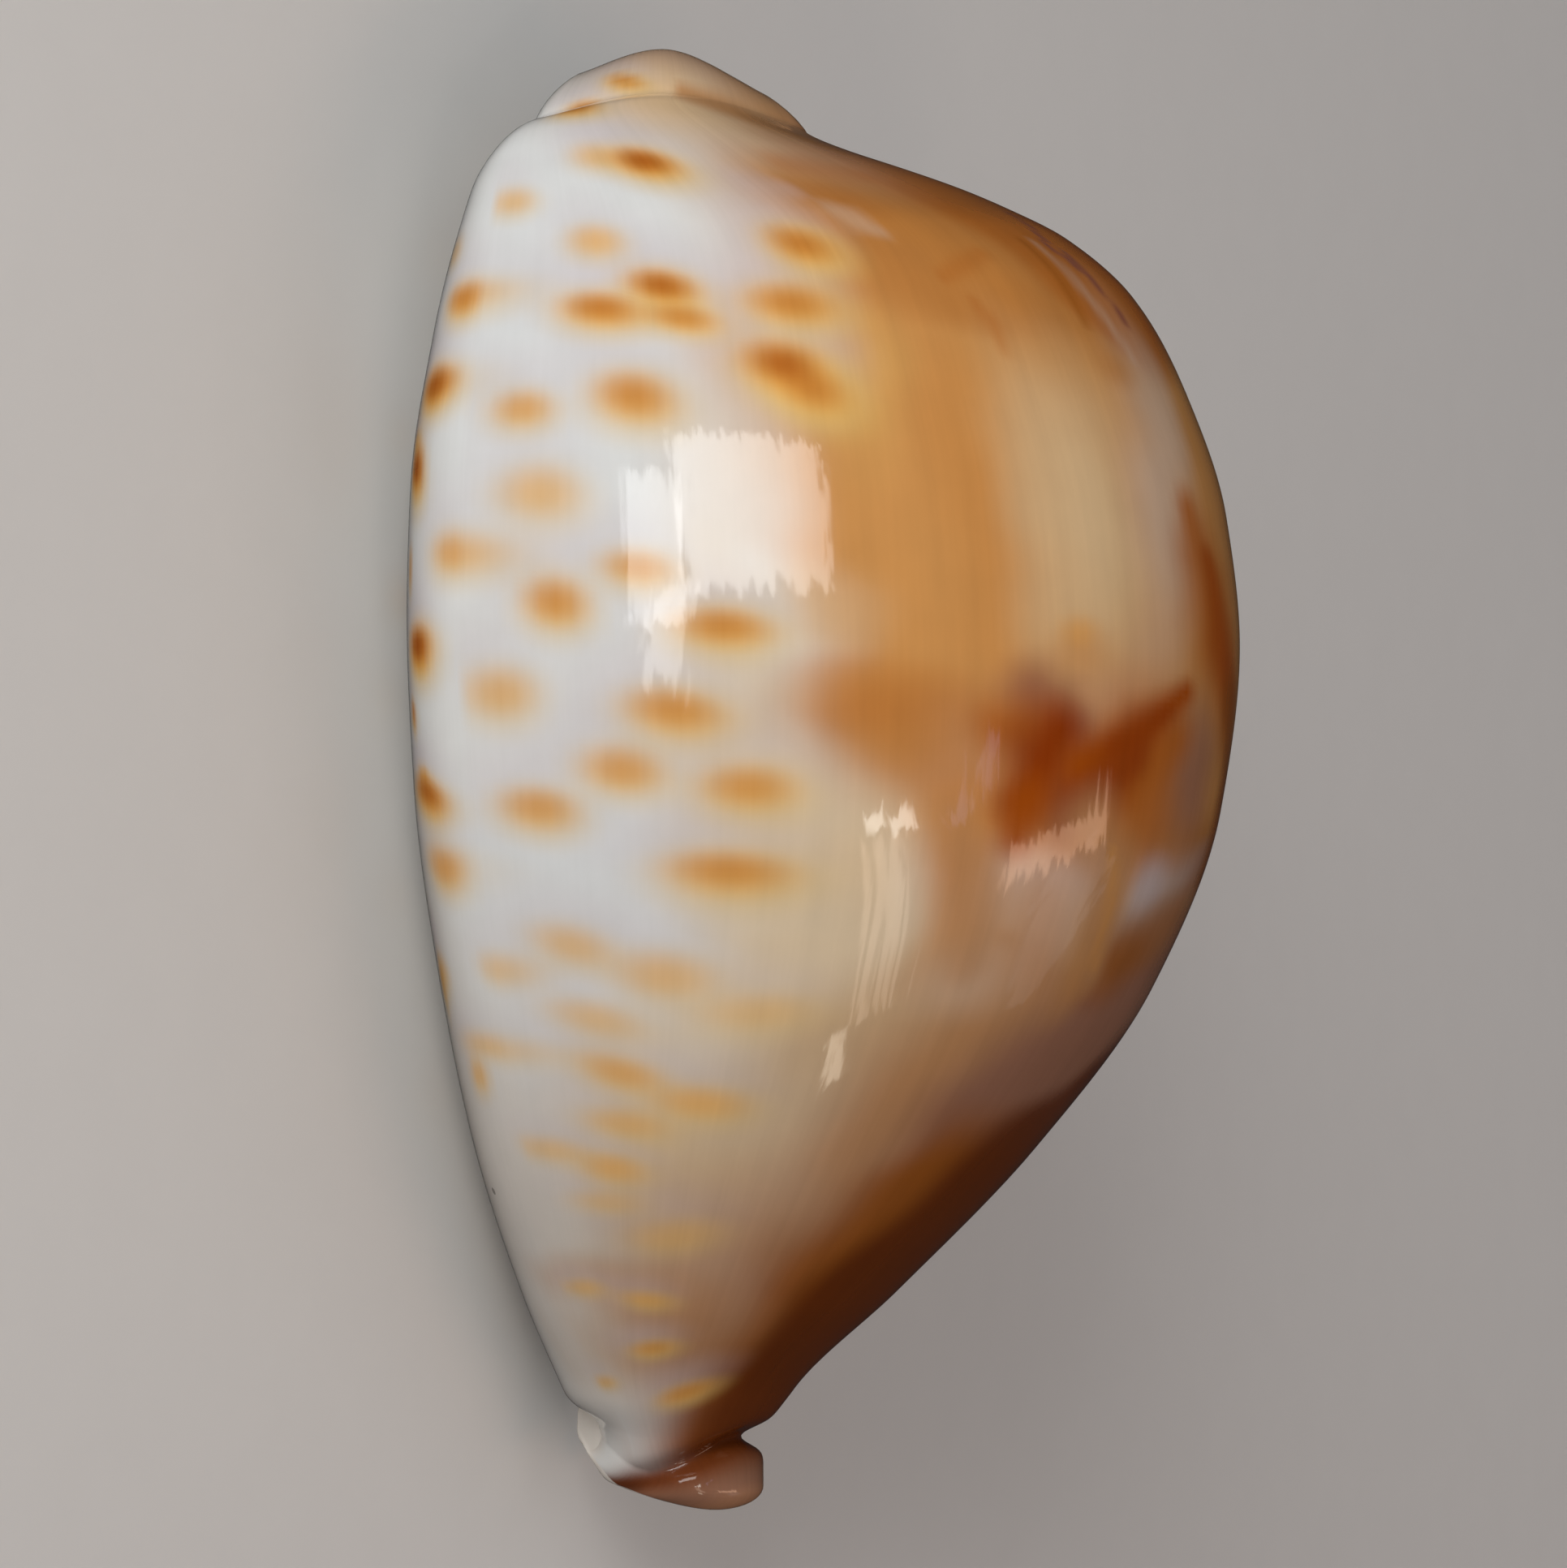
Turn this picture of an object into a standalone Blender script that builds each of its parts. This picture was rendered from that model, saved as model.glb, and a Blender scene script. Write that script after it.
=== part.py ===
"""Cowrie shell, lying on its base with the aperture down.

One grown piece. +X is the narrow front end, -X the blunt back end, -Y the outer
lip's side, +Y the columella's side, +Z the humped back.
The wall is one closed surface. Each cross-section is a C that opens at the
aperture: an outer run goes round the outside from the outer lip's tip to the
columella lip's tip, and an inner run comes back round the hollow.
"""

import bpy
import numpy as np

MM = 0.001

# Driving dimensions, in millimetres
LENGTH = 70.0
WIDTH = 41.7
HEIGHT = 34.8
APERTURE = 3.4
TOOTH_PITCH = 2.1
TOOTH_DEPTH = 0.55

# Profiles along the shell. Each station is a share of LENGTH from the back end.
# Half widths are shares of WIDTH / 2, and heights are shares of HEIGHT.
OUTER_LIP_SIDE = [
    (0.03, 0.43), (0.045, 0.618), (0.06, 0.678), (0.09, 0.735), (0.13, 0.80), (0.20, 0.89),
    (0.30, 0.972), (0.39, 0.992), (0.50, 0.957), (0.62, 0.861), (0.74, 0.713),
    (0.85, 0.492), (0.92, 0.308), (0.955, 0.218), (1.0, 0.16),
]
COLUMELLA_SIDE = [
    (0.03, 0.282), (0.06, 0.423), (0.09, 0.584), (0.13, 0.755), (0.20, 0.906),
    (0.30, 0.987), (0.39, 1.007), (0.50, 0.972), (0.62, 0.866), (0.74, 0.685),
    (0.85, 0.453), (0.92, 0.272), (0.955, 0.201), (1.0, 0.191),
]
BACK_HEIGHT = [
    (0.03, 0.357), (0.045, 0.403), (0.06, 0.464), (0.075, 0.53), (0.10, 0.632), (0.13, 0.753),
    (0.17, 0.846), (0.24, 0.925), (0.32, 0.98), (0.41, 1), (0.52, 0.974),
    (0.64, 0.877), (0.75, 0.707), (0.85, 0.504), (0.92, 0.352), (0.955, 0.311),
    (1.0, 0.313),
]
MARGIN_HEIGHT = [
    (0.03, 0.184), (0.10, 0.199), (0.25, 0.224), (0.45, 0.234), (0.70, 0.224), (0.90, 0.199), (1.0, 0.189),
]
BASE_HEIGHT = [
    (0.03, 0.085), (0.10, 0.033), (0.20, -0.007), (0.32, -0.027), (0.50, -0.027),
    (0.68, -0.004), (0.82, 0.027), (0.92, 0.062), (0.96, 0.083), (1.0, 0.099),
]

# The aperture's middle line, its gap as a share of APERTURE, and the lips, in millimetres
APERTURE_LINE = [
    (0.03, 2.6), (0.08, 1.5), (0.16, 0.0), (0.30, -1.3), (0.50, -1.9), (0.70, -1.8), (0.88, -0.9),
    (1.0, -0.3),
]
APERTURE_GAP = [
    (0.03, 0.75), (0.10, 0.66), (0.35, 0.70), (0.60, 0.85), (0.80, 1.0), (0.92, 0.85), (1.0, 0.75),
]
LIP_DEPTH = [(0.03, 0.9), (0.10, 1.6), (0.25, 2.6), (0.75, 2.4), (0.90, 1.1), (1.0, 0.6)]
LIP_HEIGHT = [(0.03, 3.2), (0.12, 4.6), (0.30, 6.2), (0.70, 5.4), (0.90, 3.4), (1.0, 2.4)]

# The hollow, as shares of the outer half widths and height, and the inner whorl in millimetres
HOLLOW_SPREAD = [
    (0.03, 0.26), (0.08, 0.26), (0.14, 0.52), (0.22, 0.76), (0.35, 0.84),
    (0.60, 0.83), (0.76, 0.74), (0.86, 0.56), (0.93, 0.42), (1.0, 0.44),
]
HOLLOW_TOP = [
    (0.03, 0.50), (0.08, 0.50), (0.14, 0.72), (0.22, 0.88), (0.35, 0.945),
    (0.60, 0.94), (0.76, 0.90), (0.86, 0.80), (0.93, 0.70), (1.0, 0.68),
]
INNER_WHORL = [
    (0.03, 0.0), (0.12, 0.3), (0.25, 6.0), (0.45, 8.5), (0.65, 5.5), (0.82, 1.0), (0.92, 0.0), (1.0, 0.0),
]

# Round the shell, q runs from 0 on the outer lip's tip, through 1 at the base beside it, 2 on its
# margin, 3 on the ridge of the back, 4 on the columella's margin and 5 at the base, to 6 on the
# other tip.
BASE_ROUNDNESS = 2.15
BACK_ROUNDNESS = 2.08
LIP_ROUNDNESS = 2.5
RIDGE_OFFSET = 0.4
REST_SOFTNESS = 0.12

# The two ends: how far each line round the shell reaches, and the rim's roundness, in millimetres
BACK_RIM_STATION = 0.037
FRONT_RIM_STATION = 0.984
BACK_RIM_SHIFT = [
    (0.0, 3.0), (1.0, 2.8), (1.5, 1.9), (2.0, 1.1), (2.5, 0.0), (3.0, 0.85),
    (3.5, 2.1), (4.0, 3.3), (5.0, 3.6), (6.0, 3.6),
]
BACK_RIM_RADIUS = [
    (0.0, 0.7), (1.0, 1.8), (2.0, 2.6), (2.5, 2.6), (3.0, 2.1), (4.0, 1.7), (5.0, 1.4), (6.0, 0.7),
]
FRONT_RIM_SHIFT = [
    (0.0, -2.7), (1.0, -2.6), (1.6, -1.8), (2.2, -0.6), (3.0, 0.2), (4.0, 0.1), (5.0, -0.5), (6.0, -0.8),
]
FRONT_RIM_RADIUS = [(0.0, 0.7), (1.0, 0.9), (2.0, 0.9), (3.0, 1.0), (4.0, 1.0), (5.0, 0.8), (6.0, 0.5)]
RIM_SHIFT_FADE = 0.07
# Under 2 the rim is a softened slope that runs on from the shoulder, and at 2 it is round
BACK_RIM_ROUNDNESS = 1.4
FRONT_RIM_ROUNDNESS = 2.0

# The groove behind the front collar: where it crosses each line, in millimetres from the middle,
# and its depth
COLLAR_GROOVE = [
    (0.0, 33.9), (1.5, 33.8), (2.0, 33.3), (2.5, 32.4), (3.0, 31.55), (4.0, 32.2), (5.0, 33.0), (6.0, 33.0),
]
COLLAR_DEPTH = [(0.0, 0.0), (1.4, 0.0), (2.0, 0.16), (3.0, 0.26), (4.0, 0.20), (5.0, 0.0), (6.0, 0.0)]
COLLAR_GROOVE_WIDTH = 0.55

# The worn spire, a low knob on the back slope: its place, radius and rise, in millimetres
SPIRE = (-30.4, 6.3, 11.4)
SPIRE_RADIUS = 2.3
SPIRE_RISE = 0.9

# Lines round half the C: how many on each lip, their shares of the way over the base, and how many
# over the back
LIP_STEPS = 2
BASE_SHARES = (0.0, 0.07, 0.18, 0.5)
BACK_STEPS = 6
ROWS_PER_TOOTH = 3
FIRST_TOOTH, TEETH = 0.075, 28
TOOTH_REACH = 0.09
OUTER_TEETH = (0.085, 0.90)
COLUMELLA_TEETH = (0.13, 0.86)
RIM_STEPS = 3


def smooth_profile(points, at):
    """A curve through the points, cubic between them, that never overshoots."""
    station, value = np.array(points, float).T
    gap = np.diff(station)
    slope = np.diff(value) / gap
    turning = slope[:-1] * slope[1:] <= 0
    before = np.where(turning, 1.0, slope[:-1])
    after = np.where(turning, 1.0, slope[1:])
    w1, w2 = 2 * gap[1:] + gap[:-1], gap[1:] + 2 * gap[:-1]
    inner = np.where(turning, 0.0, (w1 + w2) / (w1 / before + w2 / after))
    tangent = np.concatenate([[slope[0]], inner, [slope[-1]]])
    k = np.clip(np.searchsorted(station, at, side="right") - 1, 0, len(gap) - 1)
    t = np.clip((at - station[k]) / gap[k], 0, 1)
    start = value[k] * (1 + 2 * t) * (1 - t) ** 2 + tangent[k] * gap[k] * t * (1 - t) ** 2
    end = value[k + 1] * t**2 * (3 - 2 * t) + tangent[k + 1] * gap[k] * t**2 * (t - 1)
    return start + end


def smooth_step(x):
    x = np.clip(x, 0, 1)
    return x * x * (3 - 2 * x)


def power(x, exponent):
    return np.abs(x) ** exponent


def along(station):
    return (station - 0.5) * LENGTH


class Section:
    """The profiles at an array of stations s, one row of the surface each."""

    def __init__(self, s, q):
        s = s[:, None]
        self.s, self.q = s, q[None, :]
        half = WIDTH / 2
        self.left = smooth_profile(OUTER_LIP_SIDE, s) * half
        self.right = smooth_profile(COLUMELLA_SIDE, s) * half
        self.top = smooth_profile(BACK_HEIGHT, s) * HEIGHT
        self.margin = smooth_profile(MARGIN_HEIGHT, s) * HEIGHT
        self.base = smooth_profile(BASE_HEIGHT, s) * HEIGHT
        self.line = smooth_profile(APERTURE_LINE, s)
        self.gap = smooth_profile(APERTURE_GAP, s) * APERTURE / 2
        self.depth = smooth_profile(LIP_DEPTH, s)
        self.lip_top = smooth_profile(LIP_HEIGHT, s)
        self.spread = smooth_profile(HOLLOW_SPREAD, s)
        self.ceiling = smooth_profile(HOLLOW_TOP, s) * self.top
        self.whorl = smooth_profile(INNER_WHORL, s)


def teeth(s, span, offset):
    """0 on a tooth's crest and 1 between teeth, fading out past the ends of the row."""
    phase = (s - FIRST_TOOTH) * LENGTH / TOOTH_PITCH + offset
    between = 0.5 - 0.5 * np.cos(2 * np.pi * phase)
    fade = smooth_step((s - span[0]) / 0.02) * smooth_step((span[1] - s) / 0.02)
    return smooth_step(between * 1.2) * fade


def half_base(c, reach, q):
    """Across and up, from the lip out to the margin, on a side with this reach from the aperture."""
    start = np.arcsin(power((c.gap + c.depth) / reach, BASE_ROUNDNESS / 2))
    turn = start + q * (np.pi / 2 - start)
    across = reach * power(np.sin(turn), 2 / BASE_ROUNDNESS)
    up = c.margin - (c.margin - c.base) * power(np.cos(turn), 2 / BASE_ROUNDNESS)
    return across, up


def half_back(width, low, high, q):
    """Across and up, from the margin at q = 0 to the ridge at q = 1."""
    turn = q * np.pi / 2
    across = width * power(np.cos(turn), 2 / BACK_ROUNDNESS)
    return across, low + (high - low) * power(np.sin(turn), 2 / BACK_ROUNDNESS)


def outer_side(c, side, q, groove):
    """The outer run of one side as (across, up). q is 0 at the lip's tip and 3 on the ridge."""
    reach = c.left + c.line if side < 0 else c.right - c.line
    lip, base, back = np.clip(q, 0, 1), np.clip(q - 1, 0, 1), np.clip(q - 2, 0, 1)
    base_across, base_up = half_base(c, reach, base)
    foot_up = half_base(c, reach, np.zeros_like(q))[1]
    half_height = (c.lip_top - foot_up) / 2
    turn = lip * np.pi / 2
    cut = TOOTH_DEPTH * groove
    lip_reach = c.depth - np.minimum(cut, 0.4 * c.depth)
    lip_across = c.gap + c.depth - lip_reach * power(np.cos(turn), 2 / LIP_ROUNDNESS)
    lip_up = foot_up + half_height - (half_height - cut) * power(np.sin(turn), 2 / LIP_ROUNDNESS)
    ridge = side * (RIDGE_OFFSET - c.line)
    back_across, back_up = half_back(reach - ridge, c.margin, c.top, back)
    tooth_fade = 1 - smooth_step(base / TOOTH_REACH)
    across = np.where(q <= 1, lip_across, np.where(q <= 2, base_across, back_across + ridge))
    up = np.where(q <= 1, lip_up, np.where(q <= 2, base_up + cut * tooth_fade, back_up))
    return c.line + side * across, up


def inner_side(c, side, q, groove):
    """The inner run of one side: up the lip, over the hollow's floor and wall to its ceiling."""
    reach = c.left + c.line if side < 0 else c.right - c.line
    hollow = np.maximum(c.spread * reach, c.gap + c.depth + 0.25)
    lip, floor, roof = np.clip(q, 0, 1), np.clip(q - 1, 0, 1), np.clip(q - 2, 0, 1)
    foot_up = half_base(c, reach, np.zeros_like(q))[1]
    half_height = (c.lip_top - foot_up) / 2
    turn = lip * np.pi / 2
    cut = np.minimum(TOOTH_DEPTH * groove, 0.4 * c.depth)
    lip_reach = c.depth - cut * (1 - lip)
    lip_across = c.gap + c.depth - lip_reach * power(np.cos(turn), 2 / LIP_ROUNDNESS)
    lip_up = foot_up + half_height + half_height * power(np.sin(turn), 2 / LIP_ROUNDNESS)
    start = np.arcsin(power((c.gap + c.depth) / hollow, BASE_ROUNDNESS / 2))
    turn = start + floor * (np.pi / 2 - start)
    waist = c.lip_top + 0.28 * (c.ceiling - c.lip_top)
    floor_across = hollow * power(np.sin(turn), 2 / BASE_ROUNDNESS)
    floor_up = waist - (waist - c.lip_top) * power(np.cos(turn) / np.cos(start), 2 / BASE_ROUNDNESS)
    if side > 0:
        floor_up = floor_up + c.whorl * np.sin(np.pi * floor) ** 2
    ridge = side * (RIDGE_OFFSET - c.line) * c.spread
    roof_across, roof_up = half_back(hollow - ridge, waist, c.ceiling, roof)
    across = np.where(q <= 1, lip_across, np.where(q <= 2, floor_across, roof_across + ridge))
    up = np.where(q <= 1, lip_up, np.where(q <= 2, floor_up, roof_up))
    return c.line + side * across, up


def both_sides(make_side, c, q):
    """Joins the outer lip's side, for q up to 3, and the columella's side beyond."""
    left = make_side(c, -1, np.minimum(q, 3)[None, :], teeth(c.s, OUTER_TEETH, 0.0))
    right = make_side(c, 1, np.minimum(6 - q, 3)[None, :], teeth(c.s, COLUMELLA_TEETH, 1 / ROWS_PER_TOOTH))
    on_left = q[None, :] <= 3
    return np.where(on_left, left[0], right[0]), np.where(on_left, left[1], right[1])


def rest_flat(up):
    """Keeps the lowest parts of the base on one flat, with a soft shoulder."""
    soft = (up + REST_SOFTNESS) ** 2 / (4 * REST_SOFTNESS)
    return np.where(up >= REST_SOFTNESS, up, np.where(up <= -REST_SOFTNESS, 0.0, soft))


def shell_grid(stations, q, back_turns, front_turns):
    """Points of the outer and inner runs, as two arrays of rows by q by 3, with the rims at both ends.
    A rim row repeats the end station, and its turn goes from 0 to 90 degrees over the rim."""
    ends = np.full(len(back_turns), stations[0]), np.full(len(front_turns), stations[-1])
    s = np.concatenate([ends[0], stations, ends[1]])
    c = Section(s, q)
    outer_y, outer_z = both_sides(outer_side, c, q)
    inner_y, inner_z = both_sides(inner_side, c, q)
    x = along(c.s) + 0 * c.q

    fade = 1 - smooth_step((c.s - BACK_RIM_STATION) / RIM_SHIFT_FADE)
    x = x + smooth_profile(BACK_RIM_SHIFT, c.q) * fade
    fade = smooth_step((c.s - FRONT_RIM_STATION + RIM_SHIFT_FADE) / RIM_SHIFT_FADE)
    x = x + smooth_profile(FRONT_RIM_SHIFT, c.q) * fade

    past = (x - smooth_profile(COLLAR_GROOVE, c.q)) / COLLAR_GROOVE_WIDTH
    pull = smooth_profile(COLLAR_DEPTH, c.q) * np.exp(-(past**2))
    outer_y = outer_y + (c.line - outer_y) * pull
    outer_z = outer_z + (c.margin - outer_z) * pull

    beside = (outer_y - SPIRE[1]) ** 2 + (outer_z - SPIRE[2]) ** 2 + 0.3 * (x - SPIRE[0]) ** 2
    knob = SPIRE_RISE * np.exp(-beside / SPIRE_RADIUS**2)
    turns = np.concatenate([back_turns, np.zeros(len(stations)), front_turns])[:, None]
    at_back = np.arange(len(s))[:, None] < len(back_turns)
    radius = np.where(at_back, -smooth_profile(BACK_RIM_RADIUS, c.q), smooth_profile(FRONT_RIM_RADIUS, c.q))
    exponent = np.where(at_back, 2 / BACK_RIM_ROUNDNESS, 2 / FRONT_RIM_ROUNDNESS)
    x = x + radius * power(np.sin(turns), exponent)
    mid_y, mid_z = (outer_y + inner_y) / 2, (outer_z + inner_z) / 2
    squeeze = power(np.cos(turns), exponent)
    runs = []
    for y, z, rise in ((outer_y, outer_z, knob), (inner_y, inner_z, 0.0)):
        y, z = mid_y + (y - mid_y) * squeeze, mid_z + (z - mid_z) * squeeze
        runs.append(np.stack([x - rise * squeeze, y, rest_flat(z)], axis=-1))
    return runs


def q_values(lip, base_shares, back):
    half = np.concatenate([np.arange(lip) / lip, 1 + np.array(base_shares), 2 + np.arange(back) / back])
    return np.concatenate([half, [3.0], 6 - half[::-1]])


def row_stations():
    """Close rows over the two ends, and ROWS_PER_TOOTH to each tooth between them."""
    step = TOOTH_PITCH / LENGTH / ROWS_PER_TOOTH
    middle = FIRST_TOOTH + np.arange(TEETH * ROWS_PER_TOOTH + 1) * step
    back = np.linspace(BACK_RIM_STATION, FIRST_TOOTH, 5)[:-1]
    front = np.linspace(middle[-1], FRONT_RIM_STATION, 9)[1:]
    return np.concatenate([back, middle, front])


def shell_mesh():
    """Vertices and faces of the closed wall."""
    q = q_values(LIP_STEPS, BASE_SHARES, BACK_STEPS)
    turns = np.linspace(90, 0, RIM_STEPS + 1)[:-1] * np.pi / 180
    turns[0] = np.radians(86)
    outer, inner = shell_grid(row_stations(), q, turns, turns[::-1])
    loop = np.concatenate([outer, inner[:, -2:0:-1]], axis=1)
    rows, around = loop.shape[:2]
    index = np.arange(rows * around).reshape(rows, around)
    turned = np.roll(index, -1, axis=1)
    faces = np.stack([index[:-1], index[1:], turned[1:], turned[:-1]], axis=-1).reshape(-1, 4).tolist()
    for row, step in ((index[0], 1), (index[-1], -1)):
        for k in range(len(q) - 1):
            strip = [row[k], row[k + 1], row[-k - 1], row[-k]]
            faces.append([int(v) for v in dict.fromkeys(strip)][::step])
    return loop.reshape(-1, 3) * MM, faces


def enamel():
    material = bpy.data.materials.new("enamel")
    material.use_nodes = True
    shader = material.node_tree.nodes["Principled BSDF"]
    shader.inputs["Base Color"].default_value = (0.78, 0.62, 0.46, 1)
    shader.inputs["Roughness"].default_value = 0.18
    shader.inputs["Metallic"].default_value = 0.0
    return material


def build_shell():
    vertices, faces = shell_mesh()
    mesh = bpy.data.meshes.new("shell")
    mesh.from_pydata(vertices.tolist(), [], faces)
    mesh.validate()
    mesh.materials.append(enamel())
    mesh.shade_smooth()
    shell = bpy.data.objects.new("shell", mesh)
    bpy.context.scene.collection.objects.link(shell)


def main():
    for old in list(bpy.data.objects):
        bpy.data.objects.remove(old)
    build_shell()


if __name__ == "__main__":
    main()
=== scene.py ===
import math

import bpy
import numpy as np
from mathutils import Matrix, Vector


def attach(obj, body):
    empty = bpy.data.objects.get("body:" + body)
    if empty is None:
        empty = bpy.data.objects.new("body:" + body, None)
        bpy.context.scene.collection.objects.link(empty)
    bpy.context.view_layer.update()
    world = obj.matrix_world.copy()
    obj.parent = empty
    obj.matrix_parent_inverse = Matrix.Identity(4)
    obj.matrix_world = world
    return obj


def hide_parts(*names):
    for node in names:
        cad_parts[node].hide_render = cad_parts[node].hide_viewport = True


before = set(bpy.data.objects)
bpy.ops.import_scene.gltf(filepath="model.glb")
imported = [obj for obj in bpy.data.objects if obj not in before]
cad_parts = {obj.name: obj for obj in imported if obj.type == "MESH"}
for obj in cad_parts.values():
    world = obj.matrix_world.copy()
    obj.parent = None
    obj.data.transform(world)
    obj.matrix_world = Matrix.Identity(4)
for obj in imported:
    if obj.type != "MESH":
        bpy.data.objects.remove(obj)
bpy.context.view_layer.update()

mm = 0.001

# The cowrie shell. It lies on its base with the aperture down: +X is the narrow front end, -X the
# blunt back end, -Y the outer lip's side and +Z the humped back.
# Profiles run along the shell. Each station is a share of the length from the back end, half
# widths are shares of half the width, and heights are shares of the height.
shellForm = {
    "length": 70.0,
    "width": 41.7,
    "height": 34.8,
    "aperture": 3.4,
    "toothPitch": 2.1,
    "toothDepth": 0.55,
    "toothReach": 0.09,
    "outerLipSide": [
        (0.03, 0.43), (0.045, 0.618), (0.06, 0.678), (0.09, 0.735), (0.13, 0.80), (0.20, 0.89),
        (0.30, 0.972), (0.39, 0.992), (0.50, 0.957), (0.62, 0.861), (0.74, 0.713),
        (0.85, 0.492), (0.92, 0.308), (0.955, 0.218), (1.0, 0.16),
    ],
    "columellaSide": [
        (0.03, 0.282), (0.06, 0.423), (0.09, 0.584), (0.13, 0.755), (0.20, 0.906),
        (0.30, 0.987), (0.39, 1.007), (0.50, 0.972), (0.62, 0.866), (0.74, 0.685),
        (0.85, 0.453), (0.92, 0.272), (0.955, 0.201), (1.0, 0.191),
    ],
    "backHeight": [
        (0.03, 0.357), (0.045, 0.403), (0.06, 0.464), (0.075, 0.53), (0.10, 0.632), (0.13, 0.753),
        (0.17, 0.846), (0.24, 0.925), (0.32, 0.98), (0.41, 1.0), (0.52, 0.974),
        (0.64, 0.877), (0.75, 0.707), (0.85, 0.504), (0.92, 0.352), (0.955, 0.311),
        (1.0, 0.313),
    ],
    "marginHeight": [
        (0.03, 0.184), (0.10, 0.199), (0.25, 0.224), (0.45, 0.234), (0.70, 0.224), (0.90, 0.199),
        (1.0, 0.189),
    ],
    "baseHeight": [
        (0.03, 0.085), (0.10, 0.033), (0.20, -0.007), (0.32, -0.027), (0.50, -0.027),
        (0.68, -0.004), (0.82, 0.027), (0.92, 0.062), (0.96, 0.083), (1.0, 0.099),
    ],
    # The aperture's middle line, its gap as a share of the aperture, and the lips, in mm
    "apertureLine": [
        (0.03, 2.6), (0.08, 1.5), (0.16, 0.0), (0.30, -1.3), (0.50, -1.9), (0.70, -1.8), (0.88, -0.9),
        (1.0, -0.3),
    ],
    "apertureGap": [
        (0.03, 0.75), (0.10, 0.66), (0.35, 0.70), (0.60, 0.85), (0.80, 1.0), (0.92, 0.85), (1.0, 0.75),
    ],
    "lipDepth": [(0.03, 0.9), (0.10, 1.6), (0.25, 2.6), (0.75, 2.4), (0.90, 1.1), (1.0, 0.6)],
    "lipHeight": [(0.03, 3.2), (0.12, 4.6), (0.30, 6.2), (0.70, 5.4), (0.90, 3.4), (1.0, 2.4)],
    # The hollow, as shares of the outer half widths and height, and the inner whorl in mm
    "hollowSpread": [
        (0.03, 0.26), (0.08, 0.26), (0.14, 0.52), (0.22, 0.76), (0.35, 0.84),
        (0.60, 0.83), (0.76, 0.74), (0.86, 0.56), (0.93, 0.42), (1.0, 0.44),
    ],
    "hollowTop": [
        (0.03, 0.50), (0.08, 0.50), (0.14, 0.72), (0.22, 0.88), (0.35, 0.945),
        (0.60, 0.94), (0.76, 0.90), (0.86, 0.80), (0.93, 0.70), (1.0, 0.68),
    ],
    "innerWhorl": [
        (0.03, 0.0), (0.12, 0.3), (0.25, 6.0), (0.45, 8.5), (0.65, 5.5), (0.82, 1.0), (0.92, 0.0), (1.0, 0.0),
    ],
    "baseRoundness": 2.15,
    "backRoundness": 2.08,
    "lipRoundness": 2.5,
    "ridgeOffset": 0.4,
    "restSoftness": 0.12,
    # The worn spire: its place, radius and rise, in mm
    "spire": (-30.4, 6.3, 11.4),
    "spireRadius": 2.3,
    "spireRise": 0.9,
    # The two ends: how far each line round the shell reaches, and the rim's roundness, in mm
    "backRimStation": 0.037,
    "frontRimStation": 0.984,
    "backRimShift": [
        (0.0, 3.0), (1.0, 2.8), (1.5, 1.9), (2.0, 1.1), (2.5, 0.0), (3.0, 0.85),
        (3.5, 2.1), (4.0, 3.3), (5.0, 3.6), (6.0, 3.6),
    ],
    "backRimRadius": [
        (0.0, 0.7), (1.0, 1.8), (2.0, 2.6), (2.5, 2.6), (3.0, 2.1), (4.0, 1.7), (5.0, 1.4), (6.0, 0.7),
    ],
    "frontRimShift": [
        (0.0, -2.7), (1.0, -2.6), (1.6, -1.8), (2.2, -0.6), (3.0, 0.2), (4.0, 0.1), (5.0, -0.5), (6.0, -0.8),
    ],
    "frontRimRadius": [(0.0, 0.7), (1.0, 0.9), (2.0, 0.9), (3.0, 1.0), (4.0, 1.0), (5.0, 0.8), (6.0, 0.5)],
    "rimShiftFade": 0.07,
    # Under 2 a rim is a softened slope that runs on from the shoulder, and at 2 it is round
    "backRimRoundness": 1.4,
    "frontRimRoundness": 2.0,
    "collarGroove": [
        (0.0, 33.9), (1.5, 33.8), (2.0, 33.3), (2.5, 32.4), (3.0, 31.55), (4.0, 32.2), (5.0, 33.0),
        (6.0, 33.0),
    ],
    "collarDepth": [(0.0, 0.0), (1.4, 0.0), (2.0, 0.16), (3.0, 0.26), (4.0, 0.20), (5.0, 0.0), (6.0, 0.0)],
    "collarGrooveWidth": 0.55,
    "firstTooth": 0.075,
    "outerTeeth": (0.085, 0.90),
    "columellaTeeth": (0.13, 0.86),
    # How the teeth fade at the ends of a row, how sharp they are and how much of a lip they may cut
    "toothFade": 0.02,
    "toothSharpness": 1.2,
    "toothShare": 0.4,
    "hollowMargin": 0.25,
    "waistShare": 0.28,
    "spireStretch": 0.3,
}

# How fine the surface is: lines over a lip, half the base and half the back, rows along the shell
# and over a rim, the rim's last turn in degrees, and how far lines crowd to the teeth and rows to
# the ends
shellFineness = {
    "lip": 10, "base": 28, "back": 58, "rows": 306, "rimRows": 10, "rimTurn": 87.0,
    "toothCrowding": 1.25, "endCrowding": 0.06,
}


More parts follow.
